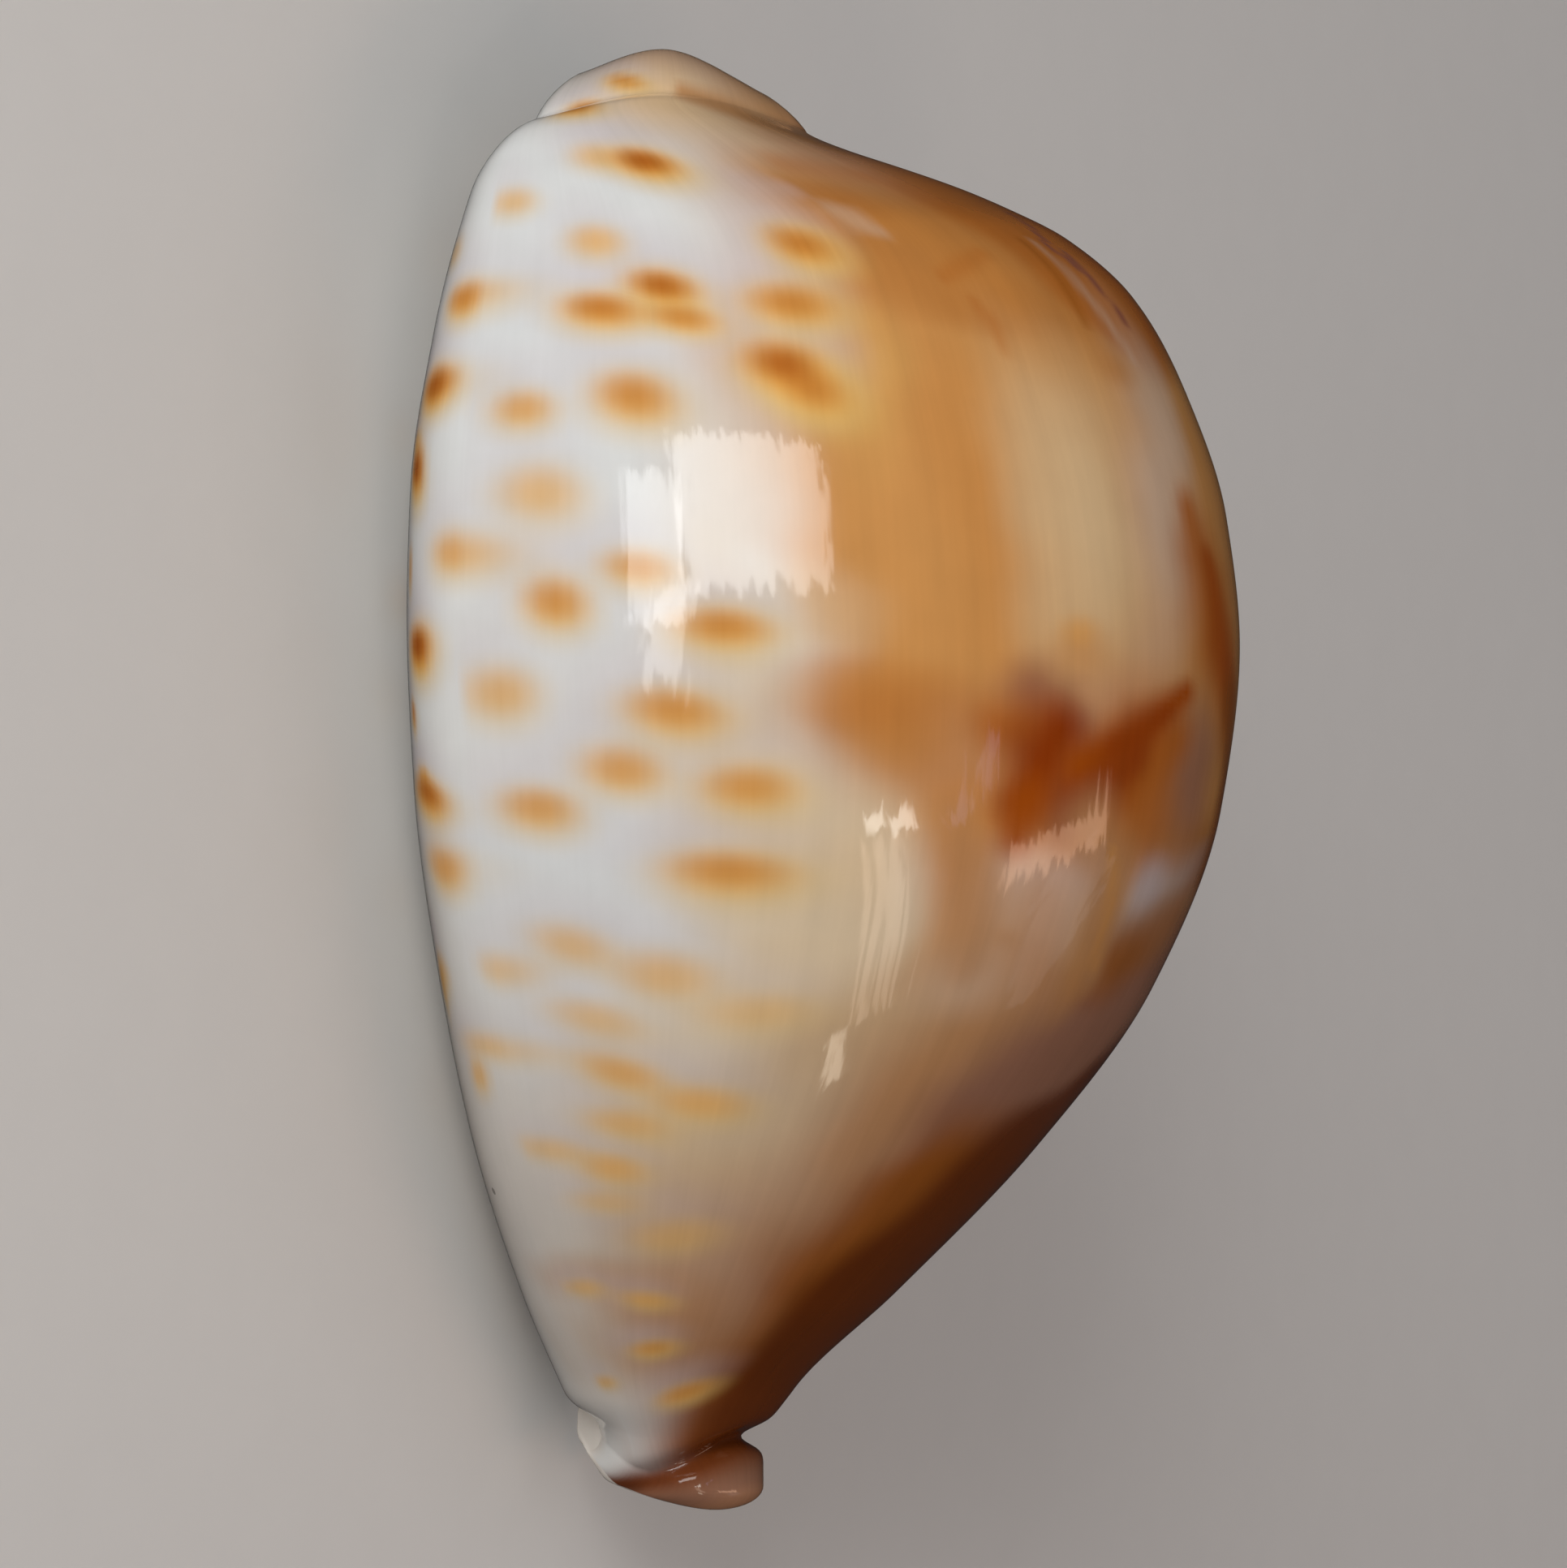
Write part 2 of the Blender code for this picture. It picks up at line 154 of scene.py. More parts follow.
# A curve through the points, cubic between them, that never overshoots
def smoothProfile(points, at):
    station, value = np.array(points, float).T
    gap = np.diff(station)
    slope = np.diff(value) / gap
    turning = slope[:-1] * slope[1:] <= 0
    before = np.where(turning, 1.0, slope[:-1])
    after = np.where(turning, 1.0, slope[1:])
    w1, w2 = 2 * gap[1:] + gap[:-1], gap[1:] + 2 * gap[:-1]
    inner = np.where(turning, 0.0, (w1 + w2) / (w1 / before + w2 / after))
    tangent = np.concatenate([[slope[0]], inner, [slope[-1]]])
    k = np.clip(np.searchsorted(station, at, side="right") - 1, 0, len(gap) - 1)
    t = np.clip((at - station[k]) / gap[k], 0, 1)
    start = value[k] * (1 + 2 * t) * (1 - t) ** 2 + tangent[k] * gap[k] * t * (1 - t) ** 2
    end = value[k + 1] * t**2 * (3 - 2 * t) + tangent[k + 1] * gap[k] * t**2 * (t - 1)
    return start + end


# 0 below 0, 1 above 1, and an S between them
def smoothStep(x):
    x = np.clip(x, 0, 1)
    return x * x * (3 - 2 * x)


def power(x, exponent):
    return np.abs(x) ** exponent


# The profiles' values at the stations s, as one column each
def sectionAt(s):
    form, s = shellForm, s[:, None]
    halfWidth, height = form["width"] / 2, form["height"]
    profiles = {
        "left": ("outerLipSide", halfWidth), "right": ("columellaSide", halfWidth),
        "top": ("backHeight", height), "margin": ("marginHeight", height), "base": ("baseHeight", height),
        "line": ("apertureLine", 1), "gap": ("apertureGap", form["aperture"] / 2),
        "depth": ("lipDepth", 1), "lipTop": ("lipHeight", 1),
        "spread": ("hollowSpread", 1), "ceiling": ("hollowTop", 1), "whorl": ("innerWhorl", 1),
    }
    section = {name: smoothProfile(form[profile], s) * scale for name, (profile, scale) in profiles.items()}
    section["ceiling"] = section["ceiling"] * section["top"]
    section["s"] = s
    return section


# 0 on a tooth's crest and 1 between teeth, fading out past the ends of the row
def toothGroove(s, span, offset):
    form = shellForm
    phase = (s - form["firstTooth"]) * form["length"] / form["toothPitch"] + offset
    between = 0.5 - 0.5 * np.cos(2 * np.pi * phase)
    fade = smoothStep((s - span[0]) / form["toothFade"]) * smoothStep((span[1] - s) / form["toothFade"])
    return smoothStep(between * form["toothSharpness"]) * fade


# The outer lip's row of teeth and the columella's, which is set off by a third of a tooth
def toothRows(s):
    return toothGroove(s, shellForm["outerTeeth"], 0), toothGroove(s, shellForm["columellaTeeth"], 1 / 3)


# Half the base: a quarter of a superellipse from the lip's foot, low, out to the margin
def halfBase(c, reach, q):
    n = shellForm["baseRoundness"]
    start = np.arcsin(power((c["gap"] + c["depth"]) / reach, n / 2))
    turn = start + q * (np.pi / 2 - start)
    across = reach * power(np.sin(turn), 2 / n)
    up = c["margin"] - (c["margin"] - c["base"]) * power(np.cos(turn), 2 / n)
    return across, up


# Half the back: a quarter of a superellipse from the margin up to the ridge
def halfBack(width, low, high, q):
    n = shellForm["backRoundness"]
    turn = q * np.pi / 2
    return width * power(np.cos(turn), 2 / n), low + (high - low) * power(np.sin(turn), 2 / n)


# What both runs of a side share: how far out it goes, the shares of q's three stretches, the
# height of the lip's foot, half the lip's height, and its superellipse's cosine and sine
def sideBasics(c, side, q):
    reach = c["left"] + c["line"] if side < 0 else c["right"] - c["line"]
    shares = [np.clip(q - k, 0, 1) for k in range(3)]
    footUp = halfBase(c, reach, np.zeros_like(q))[1]
    turn, exponent = shares[0] * np.pi / 2, 2 / shellForm["lipRoundness"]
    halfHeight = (c["lipTop"] - footUp) / 2
    return reach, shares, footUp, halfHeight, power(np.cos(turn), exponent), power(np.sin(turn), exponent)


# Joins a side's stretches, given as across and up: the lip for q up to 1, the middle and the top
def joinStretches(c, side, q, lip, middle, top):
    across, up = [np.where(q <= 1, a, np.where(q <= 2, b, d)) for a, b, d in zip(lip, middle, top)]
    return c["line"] + side * across, up


# The outer run of one side, from the lip's tip (q = 0) over its foot (1) and margin (2) to the ridge (3)
def outerSide(c, side, q, groove):
    reach, (_, base, back), footUp, halfHeight, cosine, sine = sideBasics(c, side, q)
    cut = shellForm["toothDepth"] * groove
    lipReach = c["depth"] - np.minimum(cut, shellForm["toothShare"] * c["depth"])
    lipRun = c["gap"] + c["depth"] - lipReach * cosine, footUp + halfHeight - (halfHeight - cut) * sine
    baseAcross, baseUp = halfBase(c, reach, base)
    baseRun = baseAcross, baseUp + cut * (1 - smoothStep(base / shellForm["toothReach"]))
    ridge = side * (shellForm["ridgeOffset"] - c["line"])
    backAcross, backUp = halfBack(reach - ridge, c["margin"], c["top"], back)
    return joinStretches(c, side, q, lipRun, baseRun, (backAcross + ridge, backUp))


# The inner run of one side: up the lip, then over the hollow's floor and wall to its ceiling
def innerSide(c, side, q, groove):
    reach, (lip, floor, roof), footUp, halfHeight, cosine, sine = sideBasics(c, side, q)
    m = shellForm["baseRoundness"]
    hollow = np.maximum(c["spread"] * reach, c["gap"] + c["depth"] + shellForm["hollowMargin"])
    cut = np.minimum(shellForm["toothDepth"] * groove, shellForm["toothShare"] * c["depth"])
    lipReach = c["depth"] - cut * (1 - lip)
    lipRun = c["gap"] + c["depth"] - lipReach * cosine, footUp + halfHeight + halfHeight * sine
    start = np.arcsin(power((c["gap"] + c["depth"]) / hollow, m / 2))
    turn = start + floor * (np.pi / 2 - start)
    waist = c["lipTop"] + shellForm["waistShare"] * (c["ceiling"] - c["lipTop"])
    floorUp = waist - (waist - c["lipTop"]) * power(np.cos(turn) / np.cos(start), 2 / m)
    if side > 0:
        floorUp = floorUp + c["whorl"] * np.sin(np.pi * floor) ** 2
    floorRun = hollow * power(np.sin(turn), 2 / m), floorUp
    ridge = side * (shellForm["ridgeOffset"] - c["line"]) * c["spread"]
    roofAcross, roofUp = halfBack(hollow - ridge, waist, c["ceiling"], roof)
    return joinStretches(c, side, q, lipRun, floorRun, (roofAcross + ridge, roofUp))


# Both sides of a run: the outer lip's for q up to 3, and the columella's beyond
def bothSides(makeSide, c, q):
    outerTeeth, columellaTeeth = toothRows(c["s"])
    left = makeSide(c, -1, np.minimum(q, 3)[None, :], outerTeeth)
    right = makeSide(c, 1, np.minimum(6 - q, 3)[None, :], columellaTeeth)
    onLeft = q[None, :] <= 3
    return [np.where(onLeft, a, b) for a, b in zip(left, right)]


# Keeps the lowest parts of the base on one flat, with a soft shoulder
def restFlat(up):
    softness = shellForm["restSoftness"]
    soft = (up + softness) ** 2 / (4 * softness)
    return np.where(up >= softness, up, np.where(up <= -softness, 0.0, soft))


# The outer and inner runs, rows by q by 3 in mm. A rim row repeats the end station, and its turn
# goes from 0 to 90 degrees over the rim, where the two runs close on each other.
def shellGrid(stations, q, backTurns, frontTurns):
    form = shellForm
    ends = np.full(len(backTurns), stations[0]), np.full(len(frontTurns), stations[-1])
    s = np.concatenate([ends[0], stations, ends[1]])
    c = sectionAt(s)
    outerY, outerZ = bothSides(outerSide, c, q)
    innerY, innerZ = bothSides(innerSide, c, q)
    around = q[None, :]
    x = (c["s"] - 0.5) * form["length"] + 0 * around

    fade = 1 - smoothStep((c["s"] - form["backRimStation"]) / form["rimShiftFade"])
    x = x + smoothProfile(form["backRimShift"], around) * fade
    fade = smoothStep((c["s"] - form["frontRimStation"] + form["rimShiftFade"]) / form["rimShiftFade"])
    x = x + smoothProfile(form["frontRimShift"], around) * fade

    past = (x - smoothProfile(form["collarGroove"], around)) / form["collarGrooveWidth"]
    pull = smoothProfile(form["collarDepth"], around) * np.exp(-(past**2))
    outerY = outerY + (c["line"] - outerY) * pull
    outerZ = outerZ + (c["margin"] - outerZ) * pull

    spireX, spireY, spireZ = form["spire"]
    beside = (outerY - spireY) ** 2 + (outerZ - spireZ) ** 2 + form["spireStretch"] * (x - spireX) ** 2
    knob = form["spireRise"] * np.exp(-beside / form["spireRadius"] ** 2)
    turns = np.concatenate([backTurns, np.zeros(len(stations)), frontTurns])[:, None]
    atBack = np.arange(len(s))[:, None] < len(backTurns)
    backRadius = smoothProfile(form["backRimRadius"], around)
    frontRadius = smoothProfile(form["frontRimRadius"], around)
    exponent = np.where(atBack, 2 / form["backRimRoundness"], 2 / form["frontRimRoundness"])
    x = x + np.where(atBack, -backRadius, frontRadius) * power(np.sin(turns), exponent)
    midY, midZ = (outerY + innerY) / 2, (outerZ + innerZ) / 2
    squeeze = power(np.cos(turns), exponent)
    runs = []
    for y, z, rise in ((outerY, outerZ, knob), (innerY, innerZ, 0.0)):
        y, z = midY + (y - midY) * squeeze, midZ + (z - midZ) * squeeze
        runs.append(np.stack([x - rise * squeeze, y, restFlat(z)], axis=-1))
    return runs


# Stations from the back rim to the front one, closer together at both ends
def rowStations(count):
    t = np.linspace(0, 1, count)
    eased = t - shellFineness["endCrowding"] * np.sin(2 * np.pi * t)
    return shellForm["backRimStation"] + (shellForm["frontRimStation"] - shellForm["backRimStation"]) * eased


# Lines round the shell. Over the base they crowd towards the teeth.
def linesAround():
    lip, base, back = [np.arange(shellFineness[k]) / shellFineness[k] for k in ("lip", "base", "back")]
    half = np.concatenate([lip, 1 + base ** shellFineness["toothCrowding"], 2 + back])
    return np.concatenate([half, [3.0], 6 - half[::-1]])


# Normals of a grid, from the cross product of its two central differences
def gridNormals(grid):
    alongRow = np.gradient(grid, axis=0)
    aroundRow = np.gradient(grid, axis=1)
    n = np.cross(aroundRow, alongRow)
    return n / np.maximum(np.linalg.norm(n, axis=2, keepdims=True), 1e-9)


# The view of the photograph: level axis X, camera above the outer lip's side, turned a quarter so
# that the back end is at the top. Places in the picture are in its own 1931 by 1932 pixels.
pictureView = {
    "elevation": 30.0,
    "aim": (0.06, 2.50, 11.31),
    "pixelsPerMm": 25.44,
    "lens": 135.0,
    "sensor": 36.0,
    "side": 1932.0,
    "centre": (965.5, 966.0),
}


def viewAxes():
    tilt = math.radians(pictureView["elevation"])
    forward = np.array([0, math.cos(tilt), -math.sin(tilt)])
    right = np.array([0, math.sin(tilt), math.cos(tilt)])
    up = np.array([-1.0, 0, 0])
    distance = pictureView["lens"] / pictureView["sensor"] * pictureView["side"] / pictureView["pixelsPerMm"]
    return forward, right, up, distance


# Where points in mm fall in the picture
def inPicture(points):
    forward, right, up, distance = viewAxes()
    d = points - np.array(pictureView["aim"])
    scale = pictureView["lens"] / pictureView["sensor"] * pictureView["side"] / (distance + d @ forward)
    return pictureView["centre"][0] + scale * (d @ right), pictureView["centre"][1] - scale * (d @ up)


# The surface as whole grids: the outer run, the inner run with half as many lines, and what the
# painting needs to know about each point of the outer run
def makeSurface():
    q = linesAround()
    turns = np.linspace(90, 0, shellFineness["rimRows"] + 1)[:-1] * np.pi / 180
    turns[0] = math.radians(shellFineness["rimTurn"])
    stations = rowStations(shellFineness["rows"])
    outer, inner = shellGrid(stations, q, turns, turns[::-1])
    rims = np.full(len(turns), stations[0]), np.full(len(turns), stations[-1])
    normals = gridNormals(outer)
    if normals[len(normals) // 2, len(q) // 2, 2] < 0:
        normals = -normals
    forward, _, _, distance = viewAxes()
    toCamera = np.array(pictureView["aim"]) - forward * distance - outer
    toCamera /= np.linalg.norm(toCamera, axis=2, keepdims=True)
    px, py = inPicture(outer)
    step = np.linalg.norm(np.gradient(outer, axis=1), axis=2)
    mmPerQ = step / np.gradient(q)[None, :]
    pixelsRound = np.hypot(np.gradient(px, axis=1), np.gradient(py, axis=1)) / np.maximum(step, 1e-6)
    return {
        "q": q, "outer": outer, "inner": inner[:, ::2], "facing": (normals * toCamera).sum(axis=2),
        "px": px, "py": py, "x": outer[..., 0], "qGrid": np.broadcast_to(q[None, :], px.shape),
        "mmPerQ": mmPerQ, "pixelsRound": pixelsRound,
        "s": np.concatenate([rims[0], stations, rims[1]])[:, None],
        "sway": unevenness(outer[..., 0], q[None, :] * sway["mmPerQ"]),
    }


# How far the edge of a mark sways, in mm round the shell and along it: a sum of seeded waves,
# with lengths in mm, that dies down near the ends
sway = {
    "waves": 14, "longest": 11.0, "shortest": 2.6, "steepness": 0.022, "seed": 3, "mmPerQ": 16.0,
    "calmFrom": 25.0, "calmTo": 30.0,
}
# How much of that sway the edges of washes, by their size in mm, of arms and of spots take up
swayShare = {"wash": 0.16, "arm": 0.3, "spot": 0.25}


def unevenness(along, round_):
    rng = np.random.default_rng(sway["seed"])
    total = np.zeros((2,) + along.shape)
    for lengths in np.linspace(sway["longest"], sway["shortest"], sway["waves"]):
        for k in range(2):
            heading, phase = rng.uniform(0, 2 * np.pi, 2)
            run = (along * math.cos(heading) + round_ * math.sin(heading)) * 2 * np.pi / lengths
            total[k] += sway["steepness"] * lengths * np.sin(run + phase)
    calm = (sway["calmTo"] - np.abs(along)) / (sway["calmTo"] - sway["calmFrom"])
    return total * smoothStep(calm)


# The shell's colours, as linear red, green and blue
shellColours = {
    "white": (0.61, 0.615, 0.605),
    "coolWhite": (0.60, 0.62, 0.63),
    # Painted shade, for the margin's lower part
    "paintedShadeWhite": (0.50, 0.46, 0.42),
    "haze": (0.50, 0.44, 0.46),
    "cream": (0.60, 0.45, 0.27),
    "paleCream": (0.61, 0.43, 0.24),
    # Painted light, for the top of the back end
    "paintedLightGold": (0.72, 0.48, 0.25),
    "beige": (0.58, 0.44, 0.32),
    "lilacBeige": (0.54, 0.39, 0.28),
    "tan": (0.53, 0.25, 0.075),
    "deepTan": (0.44, 0.18, 0.045),
    "orangeTan": (0.50, 0.20, 0.045),
    "blush": (0.50, 0.25, 0.13),
    "greyTan": (0.48, 0.33, 0.19),
    "warmTan": (0.42, 0.21, 0.09),
    "yellow": (0.64, 0.43, 0.13),
    "orange": (0.65, 0.29, 0.05),
    "rust": (0.38, 0.10, 0.008),
    "sienna": (0.29, 0.085, 0.008),
    "dusk": (0.29, 0.14, 0.09),
    "brown": (0.24, 0.035, 0.002),
    "ember": (0.33, 0.065, 0.003),
    "darkBrown": (0.12, 0.025, 0.003),
    "purple": (0.24, 0.08, 0.05),
    "collar": (0.26, 0.115, 0.06),
    "inside": (0.62, 0.58, 0.53),
    "deepInside": (0.50, 0.42, 0.46),
}

# Where one ground colour gives way to the next, going from the outer lip's margin over the back:
# points in the picture, how wide the change is in mm, the colour beyond it, how strong it is and
# over how many mm it fades in at the line's first end and out at its last
grounds = [
    (((800, 1110), (880, 1164), (800, 1236), (700, 1308), (670, 1400), (680, 1520), (705, 1600),
      (740, 1720)), 7.0, "cream", 0.7, 5.0, 4.0),
    (((860, 110), (890, 180), (915, 250), (925, 310), (885, 372), (892, 440), (935, 516), (955, 590),
      (985, 660), (1030, 732), (1045, 804), (1015, 880), (1085, 950), (1120, 1010), (1150, 1060)),
     5.5, "tan", 1.0, 2.5, 3.0),
    (((850, 50), (940, 120), (975, 200), (1000, 260), (1040, 320), (1120, 380), (1270, 430)),
     5.0, "deepTan", 1.0, 2.0, 3.0),
    (((1060, 1164), (1000, 1236), (880, 1308), (790, 1380), (750, 1452), (735, 1524), (735, 1596),
      (760, 1700)), 7.0, "greyTan", 0.95, 5.0, 4.0),
    (((1150, 1150), (1140, 1236), (1080, 1308), (990, 1380), (890, 1452), (820, 1524), (760, 1596),
      (745, 1700)), 7.0, "warmTan", 0.95, 4.0, 4.0),
    # The next three grounds darken the lower right towards the front end: the shell's own brown, with painted
    # shade where the light falls off there
    (((1330, 1170), (1290, 1236), (1215, 1308), (1140, 1380), (1080, 1452), (1040, 1500)),
     5.5, "dusk", 0.95, 3.0, 5.0),
    (((1160, 1400), (1060, 1452), (975, 1524), (895, 1596), (845, 1680), (815, 1740), (800, 1800)),
     5.0, "sienna", 0.95, 4.0, 2.0),
    (((1360, 1290), (1250, 1380), (1160, 1452), (1070, 1524), (985, 1596), (905, 1680), (850, 1750),
      (825, 1805)), 3.8, "darkBrown", 0.9, 3.0, 2.0),
    (((940, 130), (1040, 205), (1130, 250), (1220, 300), (1310, 370), (1400, 440)),
     2.2, "rust", 0.65, 3.0, 3.0),
]

# Broad washes on the side that the picture shows, from first to last: the middle in the picture,
# half the width round the shell and half the length along it in mm, a clockwise turn in degrees,
# the colour, how strong it is and how soft its edge is
washes = [
    # The margin's white, and the cream that leads over to the back
    ((620, 400), (6.0, 9.0), 0, "coolWhite", 0.6, 0.9),
    ((700, 1080), (6.0, 4.0), 0, "coolWhite", 0.6, 0.9),
    # Painted shade: a greyer white on the margin's lower part, where the light falls off
    ((630, 1500), (5.0, 9.0), 0, "paintedShadeWhite", 0.8, 0.9),
    ((930, 320), (2.6, 6.0), 0, "beige", 0.5, 0.9),
    ((900, 560), (2.6, 6.0), 0, "beige", 0.5, 0.9),
    ((900, 850), (3.0, 5.0), 0, "cream", 0.6, 0.9),
    ((1000, 1040), (4.6, 5.0), 0, "cream", 0.85, 0.9),
    ((830, 80), (6.0, 3.4), 8, "beige", 0.85, 0.9),
    ((850, 60), (6.0, 1.6), 8, "warmTan", 0.55, 0.9),
    ((880, 1420), (3.4, 2.6), 0, "cream", 0.4, 1.0),
    ((830, 1510), (2.8, 2.4), 0, "warmTan", 0.35, 1.0),
    ((690, 1575), (2.4, 0.9), 4, "warmTan", 0.35, 1.0),
    ((800, 1596), (2.8, 1.3), 8, "warmTan", 0.5, 1.0),
    ((840, 1650), (3.0, 1.6), 0, "warmTan", 0.35, 1.0),
    ((880, 165), (4.4, 2.2), 12, "beige", 0.6, 0.9),
    # Painted light: a pale gold where the light falls on the top of the back end
    ((825, 120), (3.4, 1.6), 8, "paintedLightGold", 0.75, 0.9),
    ((930, 122), (2.6, 1.5), 10, "tan", 0.6, 0.9),
    # The tan back
    ((1215, 350), (2.0, 2.0), 0, "orangeTan", 0.6, 0.9),
    ((1205, 600), (1.9, 7.0), -6, "orangeTan", 0.4, 0.9),
    ((1060, 470), (1.8, 3.0), 10, "yellow", 0.3, 0.9),
    ((1350, 660), (3.2, 6.0), 4, "paleCream", 0.95, 0.9),
    ((1280, 560), (1.8, 4.4), -4, "paleCream", 0.4, 0.9),
    ((1275, 700), (1.6, 3.4), 0, "paleCream", 0.4, 0.9),
    ((1440, 620), (2.4, 7.0), 10, "lilacBeige", 0.9, 0.9),
    ((1430, 500), (1.6, 3.2), 14, "lilacBeige", 0.6, 0.9),
    # The blotches behind the middle
    ((1285, 1095), (2.8, 3.2), 0, "blush", 0.75, 0.9),
    ((1062, 770), (2.0, 2.2), 0, "tan", 0.45, 0.9),
    ((1024, 752), (2.2, 1.8), 0, "paleCream", 0.55, 0.9),
    ((1045, 640), (1.6, 5.0), 0, "tan", 0.35, 0.9),
    ((1050, 882), (3.2, 1.7), 0, "deepTan", 0.7, 0.9),
    ((1120, 876), (3.8, 1.7), 8, "orangeTan", 0.85, 0.8),
    ((1165, 900), (2.6, 1.8), 0, "deepTan", 0.7, 0.9),
    ((1090, 880), (2.4, 0.9), 0, "rust", 0.3, 0.9),
    ((1160, 925), (4.0, 2.4), 8, "deepTan", 0.75, 0.8),
    ((1205, 960), (2.4, 3.0), 0, "blush", 0.6, 0.9),
    ((1370, 872), (3.0, 1.6), -8, "blush", 0.7, 0.9),
    ((1335, 800), (1.4, 1.0), 0, "orangeTan", 0.5, 0.9),
    ((1190, 1065), (1.9, 4.0), 4, "orangeTan", 0.9, 0.8),
    ((1330, 975), (2.6, 1.7), 0, "sienna", 0.85, 0.8),
    ((1425, 985), (3.6, 3.0), -16, "warmTan", 0.9, 0.9),
    ((1420, 1000), (3.6, 3.6), -14, "rust", 0.55, 1.0),
    ((1475, 950), (2.0, 3.0), -10, "dusk", 0.8, 0.9),
    ((1400, 1155), (3.2, 1.7), -8, "sienna", 0.85, 0.8),
    ((1362, 1115), (1.2, 3.6), 6, "tan", 0.7, 0.8),
    ((1332, 776), (0.8, 0.6), 0, "orange", 0.5, 0.9),
    ((1238, 1159), (0.7, 0.4), 20, "warmTan", 0.5, 0.8),
    ((1372, 452), (1.2, 0.8), 0, "deepTan", 0.6, 0.9),
    ((1468, 1090), (3.2, 2.8), 0, "sienna", 0.8, 0.9),
    ((1418, 1086), (1.2, 1.0), 0, "haze", 0.6, 0.9),
    ((1085, 1060), (2.0, 2.4), 0, "paleCream", 0.6, 0.9),
    ((1190, 1215), (2.2, 1.5), 0, "lilacBeige", 0.5, 0.9),
    # Painted shade: a greyer white down the margin's edge, where the light falls off
    ((556, 1240), (1.8, 8.0), 0, "paintedShadeWhite", 0.7, 0.9),
    ((1100, 240), (3.0, 1.6), 14, "rust", 0.15, 1.0),
    ((1100, 278), (2.0, 1.0), 14, "orangeTan", 0.7, 0.9),
    ((1035, 246), (1.5, 0.8), 10, "rust", 0.45, 0.9),
    ((965, 175), (1.6, 0.8), 12, "rust", 0.25, 0.9),
    ((1015, 235), (3.0, 1.6), 14, "deepTan", 0.6, 1.0),
]

# Arms, veins and streaks, each along points in the picture with half widths in mm at both ends
# and in the middle: the points, the half widths, the colour, how strong it is and how soft
arms = [
    # The forked blotch
    (((1325, 990), (1395, 965), (1450, 915)), (1.6, 2.6, 1.2), "rust", 0.85, 1.0),
    (((1275, 852), (1290, 890)), (1.4, 1.9, 1.7), "purple", 0.75, 0.9),
    (((1225, 893), (1290, 905)), (1.0, 1.2, 1.2), "rust", 0.75, 1.0),
    (((1318, 905), (1325, 960), (1318, 1010)), (1.1, 1.5, 1.2), "purple", 0.7, 1.0),
    (((1300, 900), (1280, 935), (1262, 980)), (1.2, 1.8, 1.2), "brown", 1.0, 0.95),
    (((1262, 985), (1255, 1035)), (1.1, 1.1, 0.9), "ember", 0.9, 1.0),
    (((1325, 940), (1372, 920), (1415, 898), (1464, 856)), (1.0, 1.3, 0.6), "ember", 1.0, 0.95),
    (((1332, 985), (1368, 962), (1400, 935)), (1.0, 1.4, 0.9), "brown", 0.8, 1.0),
    (((1372, 915), (1440, 880)), (0.6, 0.8, 0.4), "brown", 0.6, 1.0),
    (((1345, 1010), (1362, 1070), (1350, 1190)), (1.4, 1.5, 0.8), "warmTan", 0.8, 0.9),
    (((1372, 1050), (1368, 1110), (1352, 1180)), (0.3, 0.45, 0.35), "tan", 0.7, 0.9),
    (((1185, 1010), (1195, 1100), (1190, 1190)), (0.9, 1.3, 0.9), "warmTan", 0.6, 0.9),
    # The brown edge, and the lines over the shoulder
    (((1466, 625), (1480, 690), (1500, 780), (1513, 870)), (0.9, 2.5, 1.7), "rust", 0.85, 0.95),
    (((1488, 690), (1504, 790), (1513, 860)), (0.7, 1.5, 1.0), "ember", 0.85, 1.0),
    (((1513, 870), (1510, 960), (1478, 1085)), (1.2, 1.2, 1.0), "sienna", 0.9, 0.9),
    (((1250, 262), (1310, 290), (1370, 345), (1410, 400)), (0.5, 1.5, 0.6), "rust", 0.75, 0.9),
    (((1262, 300), (1312, 352), (1340, 400)), (0.25, 0.4, 0.2), "sienna", 0.6, 0.8),
    (((1275, 300), (1330, 352), (1392, 435)), (0.2, 0.4, 0.3), "lilacBeige", 0.35, 0.9),
    (((1238, 263), (1290, 303), (1344, 344), (1392, 404)), (0.14, 0.26, 0.16), "purple", 0.95, 0.6),
    (((1268, 284), (1310, 312), (1352, 350)), (0.1, 0.2, 0.1), "purple", 0.8, 0.6),
    (((1200, 375), (1225, 405), (1245, 440)), (0.25, 0.4, 0.2), "rust", 0.35, 0.9),
    (((1165, 345), (1215, 315)), (0.3, 0.4, 0.3), "rust", 0.35, 0.9),
    (((840, 110), (890, 130), (960, 160), (1010, 180)), (0.4, 0.8, 0.6), "deepTan", 0.7, 0.9),
    (((960, 200), (1010, 205), (1060, 215)), (0.5, 0.7, 0.4), "rust", 0.3, 0.9),
    (((920, 225), (975, 235)), (0.7, 0.8, 0.5), "haze", 0.3, 0.9),
    (((1035, 262), (1090, 290)), (0.5, 0.8, 0.4), "lilacBeige", 0.45, 0.9),
]

